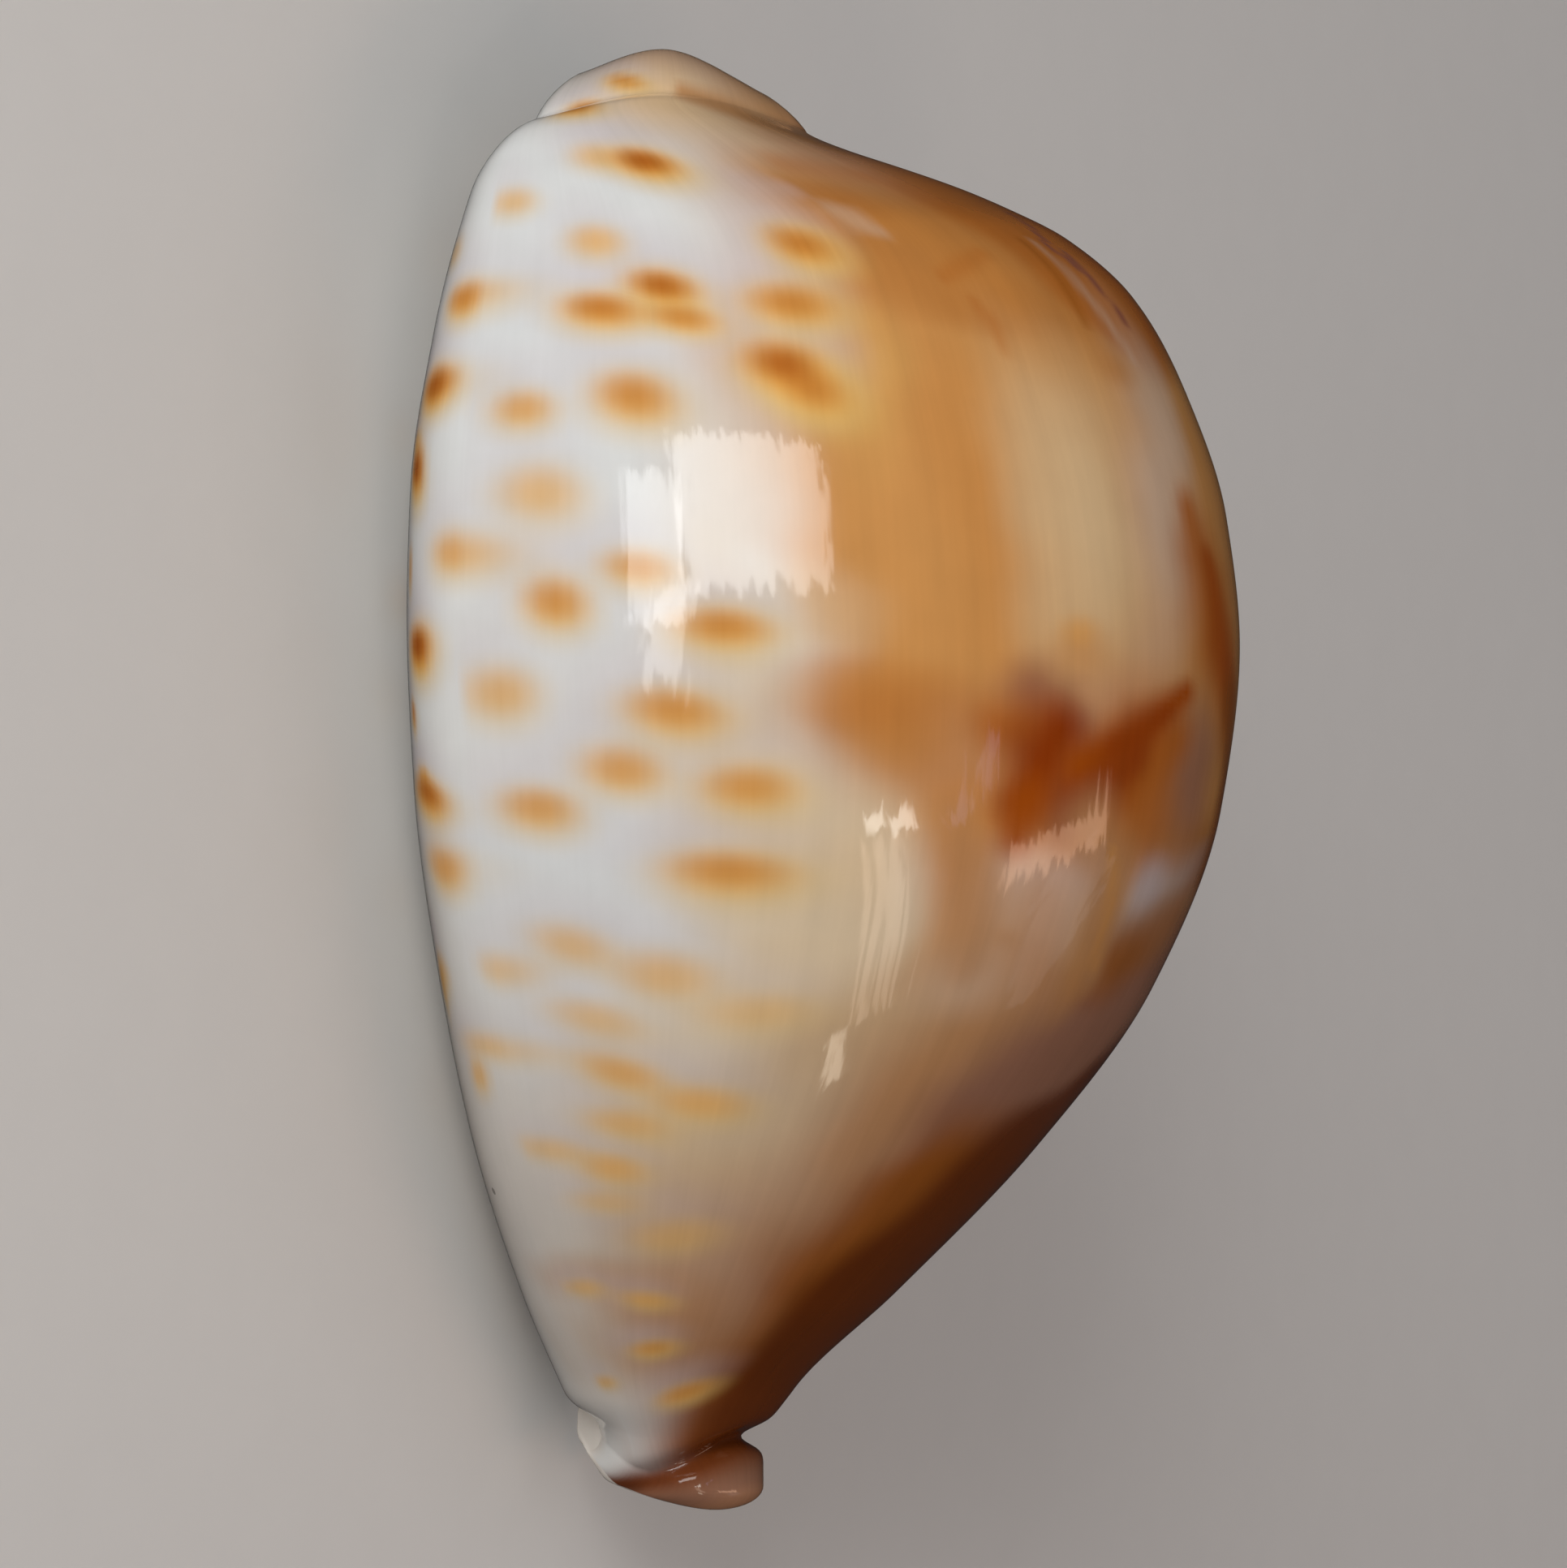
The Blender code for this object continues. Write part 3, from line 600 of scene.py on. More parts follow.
# Spots on the same side: the middle, the width and height in the picture, a turn and how dark it is
spots = [
    ((715, 133), (58, 24), 0, 0.75), ((770, 100), (52, 22), 8, 0.6), ((798, 203), (78, 42), 6, 0.9),
    ((735, 193), (56, 30), 0, 0.25), ((630, 247), (48, 30), -6, 0.25), ((732, 297), (60, 34), 6, 0.35),
    ((576, 366), (50, 42), -8, 0.7), ((745, 385), (96, 46), 4, 0.75), ((818, 352), (84, 44), 8, 0.85),
    ((842, 390), (84, 36), 6, 0.65), ((975, 368), (104, 50), 6, 0.7), ((990, 303), (84, 42), 12, 0.75),
    ((540, 477), (44, 48), -10, 0.9), ((640, 508), (70, 40), 4, 0.45),
    ((780, 495), (100, 54), 6, 0.65), ((968, 450), (104, 66), 12, 0.88), ((1005, 482), (90, 60), 20, 0.72),
    ((518, 580), (26, 64), 0, 1.0), ((662, 607), (90, 54), 6, 0.3), ((557, 680), (54, 50), 6, 0.45),
    ((785, 700), (84, 42), 6, 0.5), ((680, 742), (74, 56), 6, 0.6), ((895, 778), (115, 46), 4, 0.65),
    ((520, 800), (36, 56), 0, 1.0), ((615, 852), (80, 50), 4, 0.35), ((830, 880), (115, 48), 8, 0.6),
    ((513, 880), (12, 34), 0, 0.7), ((765, 945), (95, 50), 6, 0.5), ((925, 970), (115, 50), 4, 0.55),
    ((530, 985), (46, 46), 10, 0.85), ((665, 997), (90, 50), 4, 0.5), ((900, 1075), (150, 50), 0, 0.6),
    ((550, 1068), (46, 44), 8, 0.5), ((705, 1166), (90, 38), 14, 0.22), ((818, 1200), (110, 46), 6, 0.27),
    ((612, 1192), (60, 34), 8, 0.12), ((735, 1254), (100, 36), 10, 0.15), ((935, 1245), (120, 40), 0, 0.1),
    ((600, 1290), (60, 30), 8, 0.15), ((765, 1322), (96, 38), 14, 0.4), ((862, 1357), (105, 38), 4, 0.35),
    ((775, 1385), (96, 34), 6, 0.25), ((680, 1418), (84, 24), 6, 0.12), ((760, 1442), (74, 30), 8, 0.35),
    ((750, 1480), (80, 24), 0, 0.05), ((830, 1520), (100, 36), 0, 0.1), ((720, 1590), (44, 18), 0, 0.15),
    ((800, 1604), (58, 20), 6, 0.3), ((806, 1662), (52, 19), -4, 0.45), ((745, 1703), (24, 16), -6, 0.2),
    ((846, 1716), (66, 24), -18, 0.5), ((505, 700), (8, 44), 0, 0.4), ((548, 1210), (12, 50), 0, 0.4),
]


# How wide a mean is taken for a place, in pixels, for marks and for a line's points, and the part
# of q that the picture may show
placing = {"mark": 7.0, "line": 5.0, "seen": (1.2, 3.7)}


# The place under a point of the picture, as x, q, mm to a step of q and how many pixels a mm
# round the shell is there: the mean of the seen points nearby, weighted by a Gaussian
def placeUnder(surface, at, spread):
    away = (surface["px"] - at[0]) ** 2 + (surface["py"] - at[1]) ** 2
    low, high = placing["seen"]
    seen = (surface["facing"] > 0) & (surface["qGrid"] > low) & (surface["qGrid"] < high)
    weight = np.exp(-away / (2 * spread**2)) * seen
    if weight.sum() < 1e-6:
        weight = 1.0 * (away == away[seen].min())
    weight = weight / weight.sum()
    return [(surface[k] * weight).sum() for k in ("x", "qGrid", "mmPerQ", "pixelsRound")]


# How much of a stroke lies at a distance r from its middle, where its edge is at 1: all of it
# inside, none outside, over a band as wide as softness says
def strokeEdge(r, softness):
    return smoothStep((1 + softness - r) / (2 * softness))


# A soft-edged ellipse laid on the surface, in mm round the shell and along it. Its edge sways by
# the share given.
def softEllipse(surface, place, halfSize, turn, softness, uneven):
    x, q, mmPerQ = place[:3]
    swayRound, swayAlong = surface["sway"] * uneven
    round_ = (surface["qGrid"] - q) * mmPerQ + swayRound
    along = surface["x"] - x + swayAlong
    c, s = math.cos(math.radians(turn)), math.sin(math.radians(turn))
    a = (round_ * c + along * s) / halfSize[0]
    b = (-round_ * s + along * c) / halfSize[1]
    return strokeEdge(np.hypot(a, b), softness)


# All that lies beyond a line, going over the back: the line runs through the places under the
# picture's points, as a smooth curve of q along x
def beyondLine(surface, points, width, fadeIn, fadeOut):
    places = sorted(placeUnder(surface, p, placing["line"])[:2] for p in points)
    swayRound, swayAlong = surface["sway"]
    along = surface["x"] + swayAlong
    edge = smoothProfile(places, np.clip(along, places[0][0], places[-1][0]))
    past = ((surface["qGrid"] - edge) * surface["mmPerQ"] + swayRound) / width
    started = smoothStep((along - places[0][0]) / fadeIn + 0.5)
    ended = smoothStep((places[-1][0] - along) / fadeOut + 0.5)
    return smoothStep(past + 0.5) * started * ended


# A soft-edged arm: the nearest of its straight pieces, each with a half width that runs from
# the first through the middle one to the last
def softArm(surface, points, halfWidths, softness, uneven):
    places = [placeUnder(surface, p, placing["line"]) for p in points]
    swayRound, swayAlong = surface["sway"] * uneven
    nearest = np.full(surface["px"].shape, 99.0)
    count = len(places) - 1
    for k in range(count):
        (x0, q0, mm0, _), (x1, q1, mm1, _) = places[k:k + 2]
        mmPerQ = (mm0 + mm1) / 2
        du, dv = (q1 - q0) * mmPerQ, x1 - x0
        u = (surface["qGrid"] - q0) * mmPerQ + swayRound
        v = surface["x"] - x0 + swayAlong
        t = np.clip((u * du + v * dv) / (du * du + dv * dv), 0, 1)
        width = np.interp((k + t) / count, (0, 0.5, 1), halfWidths)
        nearest = np.minimum(nearest, np.hypot(u - t * du, v - t * dv) / width)
    return strokeEdge(nearest, softness)


def lay(colour, mask, strength, new):
    amount = (mask * strength)[..., None]
    return colour * (1 - amount) + np.array(shellColours[new]) * amount


# The layers of a spot: the colour, how far it lies down and across as shares of the half size, its
# own half width and height as such shares, its softness, and its strength on a spot of depth 0 and
# for each step of depth
spotLayers = [
    ("haze", -1.3, -0.5, 1.5, 1.9, 0.9, 0.2, 0.35),
    ("yellow", 0.22, 0.05, 1.1, 1.2, 0.95, 0.4, 0.6),
    ("orange", -0.02, 0.0, 0.86, 0.84, 0.85, 0.15, 0.9),
    ("rust", -0.18, -0.04, 0.66, 0.6, 0.95, -0.45, 1.35),
    ("brown", -0.2, -0.04, 0.5, 0.5, 0.95, -1.45, 2.0),
]


# Spots, each given as its place, half size, turn and depth: a lilac cloud above and before each,
# then a yellow rim below, an orange body and a browner core. All the clouds come first, so that
# none lies on a neighbour.
def spotStrokes(surface, places):
    for hue, down, across, layerWide, layerTall, softness, base, byDepth in spotLayers:
        for (x, q, mmPerQ), (wide, tall), turn, depth in places:
            strength = min(1.0, base + byDepth * depth)
            if strength > 0:
                at = (x + down * tall, q + across * wide / mmPerQ, mmPerQ)
                size = (layerWide * wide, layerTall * tall)
                yield softEllipse(surface, at, size, turn, softness, swayShare["spot"]), strength, hue


# Spots and blotches where the picture doesn't see, in jittered rows along the margin and the back
hiddenSpots = {
    "rows": (3.78, 3.98, 4.2, 4.45), "from": -27.0, "to": 27.0, "pitch": 4.8, "jitter": 0.9, "qJitter": 0.05,
    "seed": 11, "wide": (0.9, 1.45), "tall": (0.8, 1.2), "depth": (0.3, 0.9), "shift": 2.0,
}
hiddenBlotches = [
    # x, q, half width and half length in mm, turn, colour, strength, softness
    (-20.0, 3.45, 5.0, 4.0, 20, "deepTan", 0.6, 0.9),
    (-8.0, 3.35, 5.5, 9.0, 0, "paleCream", 0.8, 0.8),
    (-12.0, 3.62, 2.6, 2.0, 10, "rust", 0.8, 0.7),
    (-4.0, 3.55, 4.2, 1.5, -30, "brown", 0.85, 0.7),
    (-1.5, 3.42, 1.6, 3.2, 10, "brown", 0.8, 0.7),
    (5.0, 3.52, 3.0, 2.4, 15, "rust", 0.7, 0.7),
    (4.0, 3.68, 2.4, 1.4, -10, "warmTan", 0.7, 0.8),
    (12.0, 3.5, 4.5, 5.0, 0, "greyTan", 0.8, 0.9),
    (23.0, 3.4, 5.0, 6.0, 0, "rust", 0.7, 0.9),
]
baseSpots = {
    "rows": (1.42, 1.72, 4.62), "from": -24.0, "to": 21.0, "pitch": 7.5, "jitter": 1.5, "qJitter": 0.05,
    "seed": 5, "wide": (0.5, 0.95), "tall": (0.45, 0.8), "depth": (0.05, 0.45), "shift": 1.3,
}


# Zones by q, or by x in mm: the values between which each fades in, and where it fades out
shellZones = {
    "aboveBase": ((1.05, 1.55), (4.45, 4.95)),
    "pastLips": ((0.94, 1.14), (4.86, 5.06)),
    "farBack": ((3.2, 3.5), (3.6, 4.0)),
    "alongBack": ((-33, -27), (18, 30)),
    "seenSide": ((-1, 0), (3.35, 3.75)),
    "collarRound": ((1.5, 1.95), (4.4, 5.0)),
    "deepRound": ((0.2, 1.2), (6, 7)),
    "deepAlong": ((-1, 0), (23, 28)),
}


def zone(at, name):
    (start, full), (fade, end) = shellZones[name]
    return smoothStep((at - start) / (full - start)) * smoothStep((end - at) / (end - fade))


# The collar begins at its groove and has a paler rim, at these mm past the groove's line
collarPaint = {"start": -0.3, "fade": 0.9, "rim": 1.8, "rimFade": 1.4, "groove": 0.3, "grooveWidth": 1.0}


def collarStrokes(surface):
    form, q = collarPaint, surface["qGrid"]
    past = surface["x"] - smoothProfile(shellForm["collarGroove"], q)
    round_ = zone(q, "collarRound")
    yield smoothStep((past - form["start"]) / form["fade"]) * round_, 0.95, "collar"
    yield smoothStep((past - form["rim"]) / form["rimFade"]) * round_, 0.65, "blush"
    # A dark brown band along the groove: the collar's own brown, with painted shadow in the groove
    yield np.exp(-(((past - form["groove"]) / form["grooveWidth"]) ** 2)) * round_, 0.95, "darkBrown"


# The spots in the picture: a width drawn there is turned into mm by how much the surface turns away
def seenSpots(surface):
    scale = pictureView["pixelsPerMm"]
    places = []
    for at, size, turn, depth in spots:
        place = placeUnder(surface, at, placing["mark"])
        halfSize = (size[0] / 2 / max(place[3], scale / 2), size[1] / 2 / scale)
        places.append((place[:3], halfSize, turn, depth))
    return places


def scatteredSpots(surface, form):
    rng = np.random.default_rng(form["seed"])
    places = []
    for k, row in enumerate(form["rows"]):
        for station in np.arange(form["from"] + form["shift"] * k, form["to"], form["pitch"]):
            along, at = station + rng.normal(0, form["jitter"]), row + rng.normal(0, form["qJitter"])
            halfSize = rng.uniform(*form["wide"]), rng.uniform(*form["tall"])
            depth = rng.uniform(*form["depth"])
            places.append(((along, at, mmRound(surface, along, at)), halfSize, 0, depth))
    return places


# All the paint from the broadest strokes to the spots, each as its mask, strength and colour
def strokes(surface):
    q, x = surface["qGrid"], surface["x"]
    # The base is a warmer white, and the grooves between the teeth are faintly tan
    yield 1 - zone(q, "aboveBase"), 0.45, "beige"
    yield np.where(q < 3, *toothRows(surface["s"])) * (1 - zone(q, "pastLips")), 0.55, "tan"
    # The back's far side, then what the picture shows
    yield zone(q, "farBack") * zone(x, "alongBack"), 0.95, "tan"
    for along, at, wide, tall, turn, hue, strength, softness in hiddenBlotches:
        place = (along, at, mmRound(surface, along, at))
        yield softEllipse(surface, place, (wide, tall), turn, softness, 1.0), strength, hue
    for points, width, hue, strength, fadeIn, fadeOut in grounds:
        yield beyondLine(surface, points, width, fadeIn, fadeOut) * zone(q, "seenSide"), strength, hue
    for at, size, turn, hue, strength, softness in washes:
        place = placeUnder(surface, at, placing["mark"])
        uneven = min(1.0, swayShare["wash"] * (size[0] + size[1]))
        yield softEllipse(surface, place, size, turn, softness, uneven), strength, hue
    yield from collarStrokes(surface)
    for points, halfWidths, hue, strength, softness in arms:
        yield softArm(surface, points, halfWidths, softness, swayShare["arm"]), strength, hue
    hidden = scatteredSpots(surface, hiddenSpots) + scatteredSpots(surface, baseSpots)
    yield from spotStrokes(surface, seenSpots(surface) + hidden)


def paintShell(surface):
    colour = np.broadcast_to(np.array(shellColours["white"]), surface["outer"].shape).copy()
    for mask, strength, hue in strokes(surface):
        colour = lay(colour, mask, strength, hue)
    return colour


# How many mm round the shell a step of q is, at one place
def mmRound(surface, x, q):
    column = np.searchsorted(surface["q"], q)
    row = np.argmin(np.abs(surface["x"][:, column] - x))
    return surface["mmPerQ"][row, column]


# Puts the two runs into one closed mesh. Loops go round each row, and five-sided faces close both
# rims, where the inner run has one line to the outer run's two.
def buildShell(surface, colour):
    outer, inner = surface["outer"], surface["inner"]
    loop = np.concatenate([outer, inner[:, -2:0:-1]], axis=1)
    rows, around = loop.shape[:2]
    index = np.arange(rows * around).reshape(rows, around)
    turned = np.roll(index, -1, axis=1)
    quads = np.stack([index[:-1], index[1:], turned[1:], turned[:-1]], axis=-1).reshape(-1, 4)
    lines, innerLines = outer.shape[1], inner.shape[1]
    faces = quads.tolist()
    for row, step in ((index[0], 1), (index[-1], -1)):
        innerAt = np.concatenate([row[:1], row[lines:][::-1], row[lines - 1:lines]])
        for j in range(innerLines - 1):
            ring = [row[2 * j], row[2 * j + 1], row[2 * j + 2], innerAt[j + 1], innerAt[j]]
            faces.append([int(v) for v in dict.fromkeys(ring)][::step])
    mesh = bpy.data.meshes.new("cowrie_shell")
    mesh.from_pydata((loop.reshape(-1, 3) * mm).tolist(), [], faces)
    mesh.validate()
    mesh.polygons.foreach_set("use_smooth", np.ones(len(mesh.polygons), bool))

    ground = np.ones(loop.shape[:2] + (4,), np.float32)
    ground[:, :lines, :3] = colour
    ground[:, lines:, :3] = innerColour(inner[:, -2:0:-1], surface["q"][::2][-2:0:-1])
    mesh.attributes.new("ground", "FLOAT_COLOR", "POINT").data.foreach_set("color", ground.reshape(-1))

    # Across the picture the map runs along the shell, and up it runs round the shell
    qLoop = np.concatenate([surface["q"], surface["q"][::2][-2:0:-1]])
    upward = np.broadcast_to(qLoop[None, :] / 6, (rows, around))
    uv = np.stack([loop[..., 0] / shellForm["length"] + 0.5, upward], axis=-1)
    corner = np.empty(len(mesh.loops), np.int32)
    mesh.loops.foreach_get("vertex_index", corner)
    layer = mesh.uv_layers.new(name="along_and_round")
    layer.uv.foreach_set("vector", uv.reshape(-1, 2)[corner].reshape(-1))
    mesh.update()
    return addObject("cowrie_shell", mesh)


# The inside: dusky lilac deep in, and a warm white towards the lips and the ends
def innerColour(points, q):
    deep = zone(np.minimum(q, 6 - q)[None, :], "deepRound") * zone(np.abs(points[..., 0]), "deepAlong")
    return lay(np.array(shellColours["inside"]) + 0 * points, deep, 1.0, "deepInside")


def addObject(name, data):
    made = bpy.data.objects.new(name, data)
    bpy.context.scene.collection.objects.link(made)
    return made


# A node with its fields and its inputs. An input that is another node's output is linked.
def addNode(tree, kind, inputs, **fields):
    node = tree.nodes.new("ShaderNode" + kind)
    for name, value in fields.items():
        setattr(node, name, value)
    for name, value in inputs.items():
        if isinstance(value, bpy.types.NodeSocket):
            tree.links.new(value, node.inputs[name])
        else:
            node.inputs[name].default_value = value
    return node


def doMath(tree, operation, *values):
    return addNode(tree, "Math", dict(enumerate(values)), operation=operation).outputs[0]


def doVectorMath(tree, operation, inputs):
    return addNode(tree, "VectorMath", inputs, operation=operation).outputs[0]


def newMaterial(name, roughness):
    material = bpy.data.materials.new(name)
    material.use_nodes = True
    tree = material.node_tree
    shader = tree.nodes["Principled BSDF"]
    shader.inputs["Roughness"].default_value = roughness
    return material, tree, shader


# Waves are counted along the shell and round it. Tones are shares of the ground colour, and tilts
# are slopes of the polish.
enamelForm = {
    "roughness": 0.055,
    "ior": 1.55,
    "mottleScale": 420.0,
    "mottle": 0.10,
    "stria": (9.0, 520.0),
    "striaTone": 0.06,
    "striaTiltAlong": 0.065,
    "striaTiltAcross": 0.032,
    "band": (2.0, 170.0),
    "bandTone": 0.22,
    "bandOnWhite": 0.12,
    "blueOfTan": 0.15,
    "blueOfWhite": 0.5,
    "speckScale": 260.0,
    "speckSize": 0.072,
    "speckRarity": 14.0,
    "speckDepth": 0.55,
}


def makeEnamel():
    form = enamelForm
    material, tree, shader = newMaterial("enamel", form["roughness"])
    shader.inputs["IOR"].default_value = form["ior"]
    ground = addNode(tree, "Attribute", {}, attribute_name="ground").outputs["Color"]
    place = addNode(tree, "TexCoord", {}).outputs["Object"]
    uv = addNode(tree, "UVMap", {}, uv_map="along_and_round").outputs["UV"]
    mottle = addNode(tree, "TexNoise", {"Vector": place, "Scale": form["mottleScale"], "Detail": 3.0})

    # Growth lines run along the shell: fine striae, and broader bands of a fuller tone
    lines = []
    for waves in (form["stria"], form["band"]):
        stretch = addNode(tree, "Mapping", {"Vector": uv, "Scale": (*waves, 1)}).outputs["Vector"]
        noise = {"Vector": stretch, "Scale": 1.0, "Detail": 3.0, "Roughness": 0.6}
        lines.append(addNode(tree, "TexNoise", noise))
    stria, band = lines

    # Specks: small dark dots, few and far between
    dots = addNode(tree, "TexVoronoi", {"Vector": place, "Scale": form["speckScale"]})
    chance = addNode(tree, "SeparateColor", {"Color": dots.outputs["Color"]}).outputs["Red"]
    reach = doMath(tree, "MULTIPLY", doMath(tree, "POWER", chance, form["speckRarity"]), form["speckSize"])
    speck = doMath(tree, "LESS_THAN", dots.outputs["Distance"], reach)

    # The bands show on the tan back and hardly on the white margins, which hold more blue
    share = addNode(tree, "MapRange", {
        "Value": addNode(tree, "SeparateColor", {"Color": ground}).outputs["Blue"],
        "From Min": form["blueOfTan"], "From Max": form["blueOfWhite"],
        "To Min": 1.0, "To Max": form["bandOnWhite"],
    })
    fromMean = doMath(tree, "SUBTRACT", band.outputs["Fac"], 0.5)
    banding = doMath(tree, "MULTIPLY", fromMean, share.outputs["Result"])

    tone = 1 - (form["mottle"] + form["striaTone"]) / 2
    for source, amount in (
        (mottle.outputs["Fac"], form["mottle"]),
        (stria.outputs["Fac"], form["striaTone"]),
        (banding, form["bandTone"]),
        (speck, -form["speckDepth"]),
    ):
        tone = doMath(tree, "MULTIPLY_ADD", source, amount, tone)
    tree.links.new(doVectorMath(tree, "SCALE", {0: ground, "Scale": tone}), shader.inputs["Base Color"])

    # Each stria tips the polish a little, along the shell and across it
    tips = addNode(tree, "SeparateColor", {"Color": stria.outputs["Color"]})
    normal = addNode(tree, "NewGeometry", {}).outputs["Normal"]
    tangent = addNode(tree, "Tangent", {}, direction_type="UV_MAP", uv_map="along_and_round")
    along = tangent.outputs["Tangent"]
    across = doVectorMath(tree, "CROSS_PRODUCT", {0: normal, 1: along})
    for channel, direction, tilt in (
        ("Red", along, form["striaTiltAlong"]),
        ("Green", across, form["striaTiltAcross"]),
    ):
        amount = doMath(tree, "MULTIPLY_ADD", tips.outputs[channel], tilt, -tilt / 2)
        tip = doVectorMath(tree, "SCALE", {0: direction, "Scale": amount})
        normal = doVectorMath(tree, "ADD", {0: normal, 1: tip})
    tree.links.new(doVectorMath(tree, "NORMALIZE", {0: normal}), shader.inputs["Normal"])
    return material


# A pale floor under the shell, and behind it as far as the camera sees
floorForm = {
    "half": 1.5, "colour": (0.74, 0.73, 0.71), "roughness": 0.75, "grain": 260.0, "grainShade": 0.97,
}


def makeFloor():
    half, colour = floorForm["half"], floorForm["colour"]
    mesh = bpy.data.meshes.new("floor")
    corners = [(-half, -half, 0), (half, -half, 0), (half, half, 0), (-half, half, 0)]
    mesh.from_pydata(corners, [], [(0, 1, 2, 3)])
    floor = addObject("floor", mesh)
    material, tree, shader = newMaterial("floor", floorForm["roughness"])
    place = addNode(tree, "TexCoord", {}).outputs["Object"]
    grain = addNode(tree, "TexNoise", {"Vector": place, "Scale": floorForm["grain"], "Detail": 4.0})
    tones = addNode(tree, "Mix", {
        "Factor": grain.outputs["Fac"],
        "A": (*[c * floorForm["grainShade"] for c in colour], 1), "B": (*colour, 1),
    }, data_type="RGBA")
    tree.links.new(tones.outputs["Result"], shader.inputs["Base Color"])
    mesh.materials.append(material)
    # The dark edges in the picture show no floor in the polish
    floor.visible_glossy = False


# Softboxes, with places and sizes in metres, the height that they aim at on the shell's middle,
# their radiance and a turn about their own axis in degrees. The key and the fill only shed light.
# The torn ones show in the polish: ragged is how deep their edges tear, streak the length and
# width of the tears, and gaps how high the noise may go before it leaves one.
lights = {
    "window": {
        "at": (-0.085, -0.225, 0.090), "aim": 0.018, "size": (0.114, 0.142), "turn": 10, "radiance": 4.4,
        "colour": (0.97, 0.98, 0.97), "farColour": (1.0, 0.92, 0.85),
        "ragged": 0.009, "streak": (0.040, 0.006), "gaps": 0.66,
    },
    "pane": {
        "at": (-0.041, -0.225, 0.014), "aim": 0.018, "size": (0.080, 0.046), "turn": 4, "radiance": 4.0,
        "colour": (0.97, 0.98, 0.99), "farColour": (0.97, 0.98, 0.97),
        "ragged": 0.005, "streak": (0.030, 0.004), "gaps": 0.80,
    },
    "key": {
        "at": (-0.40, -0.54, 0.22), "aim": 0.015, "size": (0.40, 0.35), "turn": 0, "radiance": 5.4,
        "colour": (0.98, 0.99, 0.99),
    },
    "sill": {
        "at": (-0.002, -0.225, 0.022), "aim": 0.018, "size": (0.078, 0.040), "turn": -14, "radiance": 3.0,
        "colour": (1.0, 0.97, 0.93), "ragged": 0.009, "streak": (0.060, 0.006), "gaps": 0.60,
    },
    "glintLeft": {
        "at": (0.272, -0.467, 0.45), "aim": 0.02, "size": (0.060, 0.066), "turn": 0, "radiance": 6.5,
        "colour": (1.0, 0.95, 0.86), "ragged": 0.010, "streak": (0.060, 0.010), "gaps": 0.58,
    },
    "glintRight": {
        "at": (0.235, -0.367, 0.45), "aim": 0.02, "size": (0.060, 0.078), "turn": 0, "radiance": 6.5,
        "colour": (1.0, 0.95, 0.86), "ragged": 0.010, "streak": (0.060, 0.010), "gaps": 0.58,
    },
    "strip": {
        "at": (0.43, -0.345, 0.45), "aim": 0.02, "size": (0.34, 0.17), "turn": -16, "radiance": 2.3,
        "colour": (1.0, 0.74, 0.56), "farColour": (1.0, 0.78, 0.62),
        "ragged": 0.02, "streak": (0.60, 0.024), "gaps": 0.46,
    },
    "slip": {
        "at": (0.86, -0.335, 0.45), "aim": 0.02, "size": (0.21, 0.08), "turn": -11, "radiance": 4.5,
        "colour": (1.0, 0.86, 0.68), "ragged": 0.014, "streak": (0.08, 0.014), "gaps": 0.60,
    },
    "rail": {
        "at": (0.200, 0.080, 0.45), "aim": 0.02, "size": (0.31, 0.105), "turn": 0, "radiance": 3.2,
        "colour": (1.0, 0.60, 0.40), "ragged": 0.022, "streak": (0.012, 0.12), "gaps": 0.66,
    },
    "rear": {
        "at": (0.30, 0.19, 0.45), "aim": 0.02, "size": (0.25, 0.21), "turn": 25, "radiance": 0.4,
        "colour": (1.0, 0.86, 0.84), "ragged": 0.03, "streak": (0.10, 0.03), "gaps": 0.80,
    },
    "hatch": {
        "at": (0.150, -0.180, 0.45), "aim": 0.02, "size": (0.052, 0.14), "turn": 0, "radiance": 1.1,
        "colour": (0.80, 0.66, 1.0), "ragged": 0.02, "streak": (0.08, 0.010), "gaps": 0.52,
    },
    "fill": {
        "at": (0.1, 0.6, 0.7), "aim": 0.0, "size": (0.6, 0.6), "turn": 0, "radiance": 0.5,
        "colour": (0.95, 0.97, 1.0),
    },
}
# How much the noise tears, where a tear starts, and how soft its edge and a gap's edge are
tearing = {"depth": 6.5, "start": 0.7, "blur": 0.25, "gapBlur": 0.04}
worldLight = {"colour": (0.92, 0.95, 1.0), "strength": 0.22, "inThePolish": 0.015}


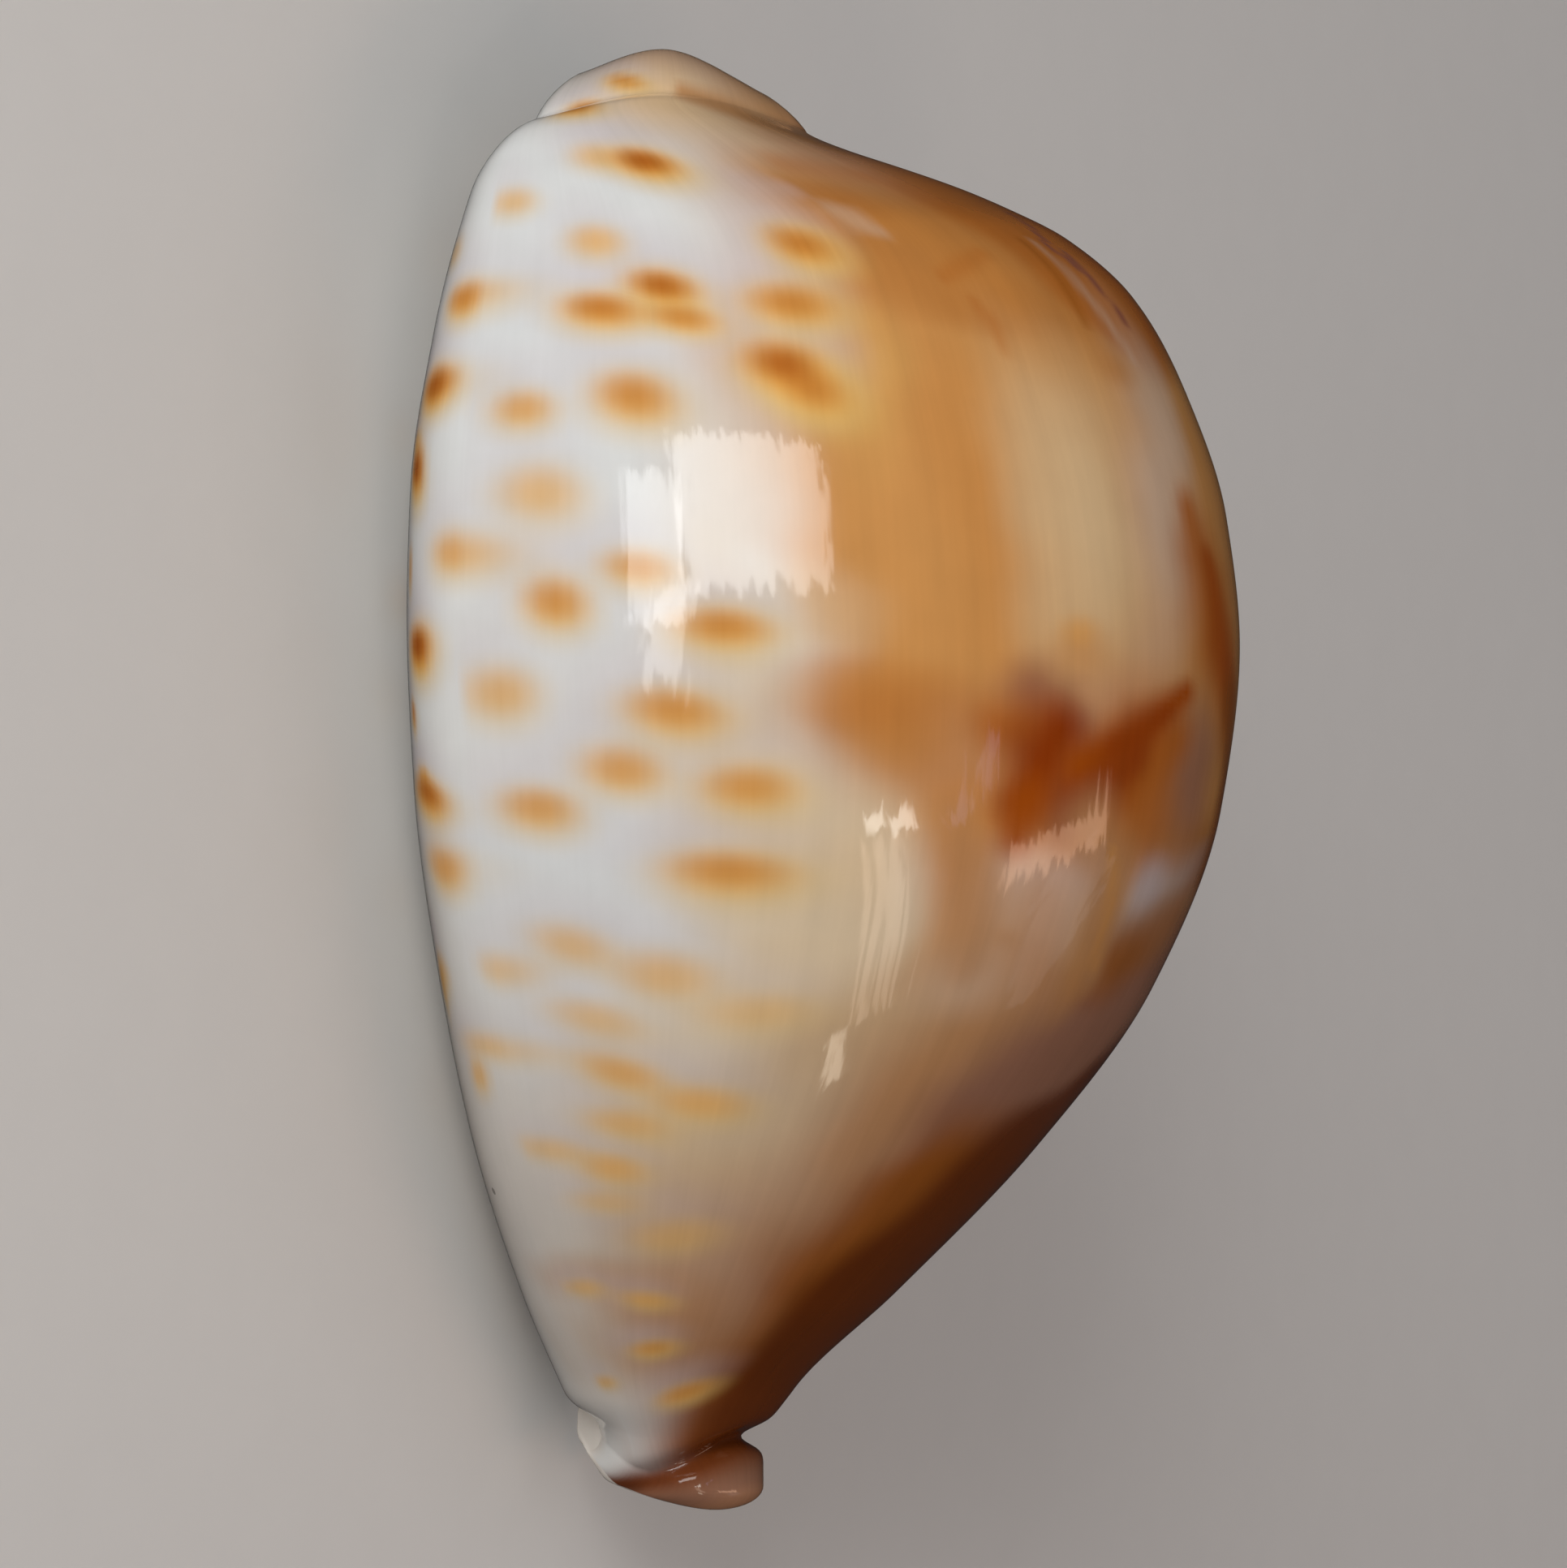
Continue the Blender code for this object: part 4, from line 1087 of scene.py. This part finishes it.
# Tears a panel's edges and opens gaps in it, along streaks that run with its width: its light goes
# out where a stretched noise is higher than the distance to the edge allows
def tearLight(data, form):
    data.use_nodes = True
    tree = data.node_tree
    emission = tree.nodes["Emission"]
    place = addNode(tree, "NewGeometry", {}).outputs["Parametric"]
    across = addNode(tree, "SeparateXYZ", {"Vector": place}).outputs
    edges = []
    for axis, size in zip("XY", form["size"]):
        away = doMath(tree, "ABSOLUTE", doMath(tree, "SUBTRACT", across[axis], 0.5))
        edges.append(doMath(tree, "MULTIPLY_ADD", away, -size / form["ragged"], size / form["ragged"] / 2))
    waves = (*[size / streak for size, streak in zip(form["size"], form["streak"])], 1)
    stretch = {"Vector": place, "Scale": waves, "Location": (*form["at"][:2], 0)}
    stretched = addNode(tree, "Mapping", stretch).outputs["Vector"]
    noise = addNode(tree, "TexNoise", {"Vector": stretched, "Scale": 1.0, "Detail": 3.0}).outputs["Fac"]
    tear = doMath(tree, "MULTIPLY_ADD", noise, -tearing["depth"], doMath(tree, "MINIMUM", *edges))
    start = tearing["start"] - tearing["depth"] / 2
    inside = {"Value": tear, "From Min": start, "From Max": start + tearing["blur"]}
    solid = {"Value": noise, "From Min": form["gaps"] + tearing["gapBlur"], "From Max": form["gaps"]}
    shares = [addNode(tree, "MapRange", inputs).outputs["Result"] for inputs in (inside, solid)]
    tree.links.new(doMath(tree, "MULTIPLY", *shares), emission.inputs["Strength"])
    if "farColour" in form:
        ends = {"Factor": across["Y"], "A": (*form["colour"], 1), "B": (*form["farColour"], 1)}
        hue = addNode(tree, "Mix", ends, data_type="RGBA")
        tree.links.new(hue.outputs["Result"], emission.inputs["Color"])
    else:
        emission.inputs["Color"].default_value = (*form["colour"], 1)


def makeLights():
    for name, form in lights.items():
        data = bpy.data.lights.new(name, "AREA")
        data.shape = "RECTANGLE"
        data.size, data.size_y = form["size"]
        data.energy = form["radiance"] * math.pi * data.size * data.size_y
        if "ragged" in form:
            tearLight(data, form)
        else:
            data.color = form["colour"]
        light = addObject(name, data)
        place = Vector(form["at"])
        aim = (Vector((0, 0, form["aim"])) - place).to_track_quat("-Z", "Y").to_matrix().to_4x4()
        turned = Matrix.Rotation(math.radians(form["turn"]), 4, "Z")
        light.matrix_world = Matrix.Translation(place) @ aim @ turned
        light.visible_glossy = "ragged" in form
        light.visible_camera = False
    world = bpy.data.worlds.new("studio")
    bpy.context.scene.world = world
    world.use_nodes = True
    tree = world.node_tree
    background = tree.nodes["Background"]
    background.inputs["Color"].default_value = (*worldLight["colour"], 1)
    strength = addNode(tree, "MapRange", {
        "Value": addNode(tree, "LightPath", {}).outputs["Is Glossy Ray"],
        "To Min": worldLight["strength"], "To Max": worldLight["inThePolish"],
    })
    tree.links.new(strength.outputs["Result"], background.inputs["Strength"])


def makeCamera():
    data = bpy.data.cameras.new("camera")
    data.lens = pictureView["lens"]
    data.sensor_width = pictureView["sensor"]
    data.sensor_fit = "HORIZONTAL"
    data.clip_start, data.clip_end = 0.01, 20
    camera = addObject("camera", data)
    forward, right, up, distance = viewAxes()
    place = (np.array(pictureView["aim"]) - forward * distance) * mm
    turn = Matrix((right, up, -forward)).transposed().to_4x4()
    camera.matrix_world = Matrix.Translation(Vector(place)) @ turn
    bpy.context.scene.camera = camera


print("working out the surface")
surface = makeSurface()
print("painting it")
shellColour = paintShell(surface)
print("building the mesh")
shell = buildShell(surface, shellColour)
shell.data.materials.append(makeEnamel())
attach(shell, "root")
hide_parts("shell")
print("shell:", sum(len(p.vertices) - 2 for p in shell.data.polygons), "triangles")
makeFloor()
makeLights()
makeCamera()
bpy.context.scene.view_settings.view_transform = "Standard"
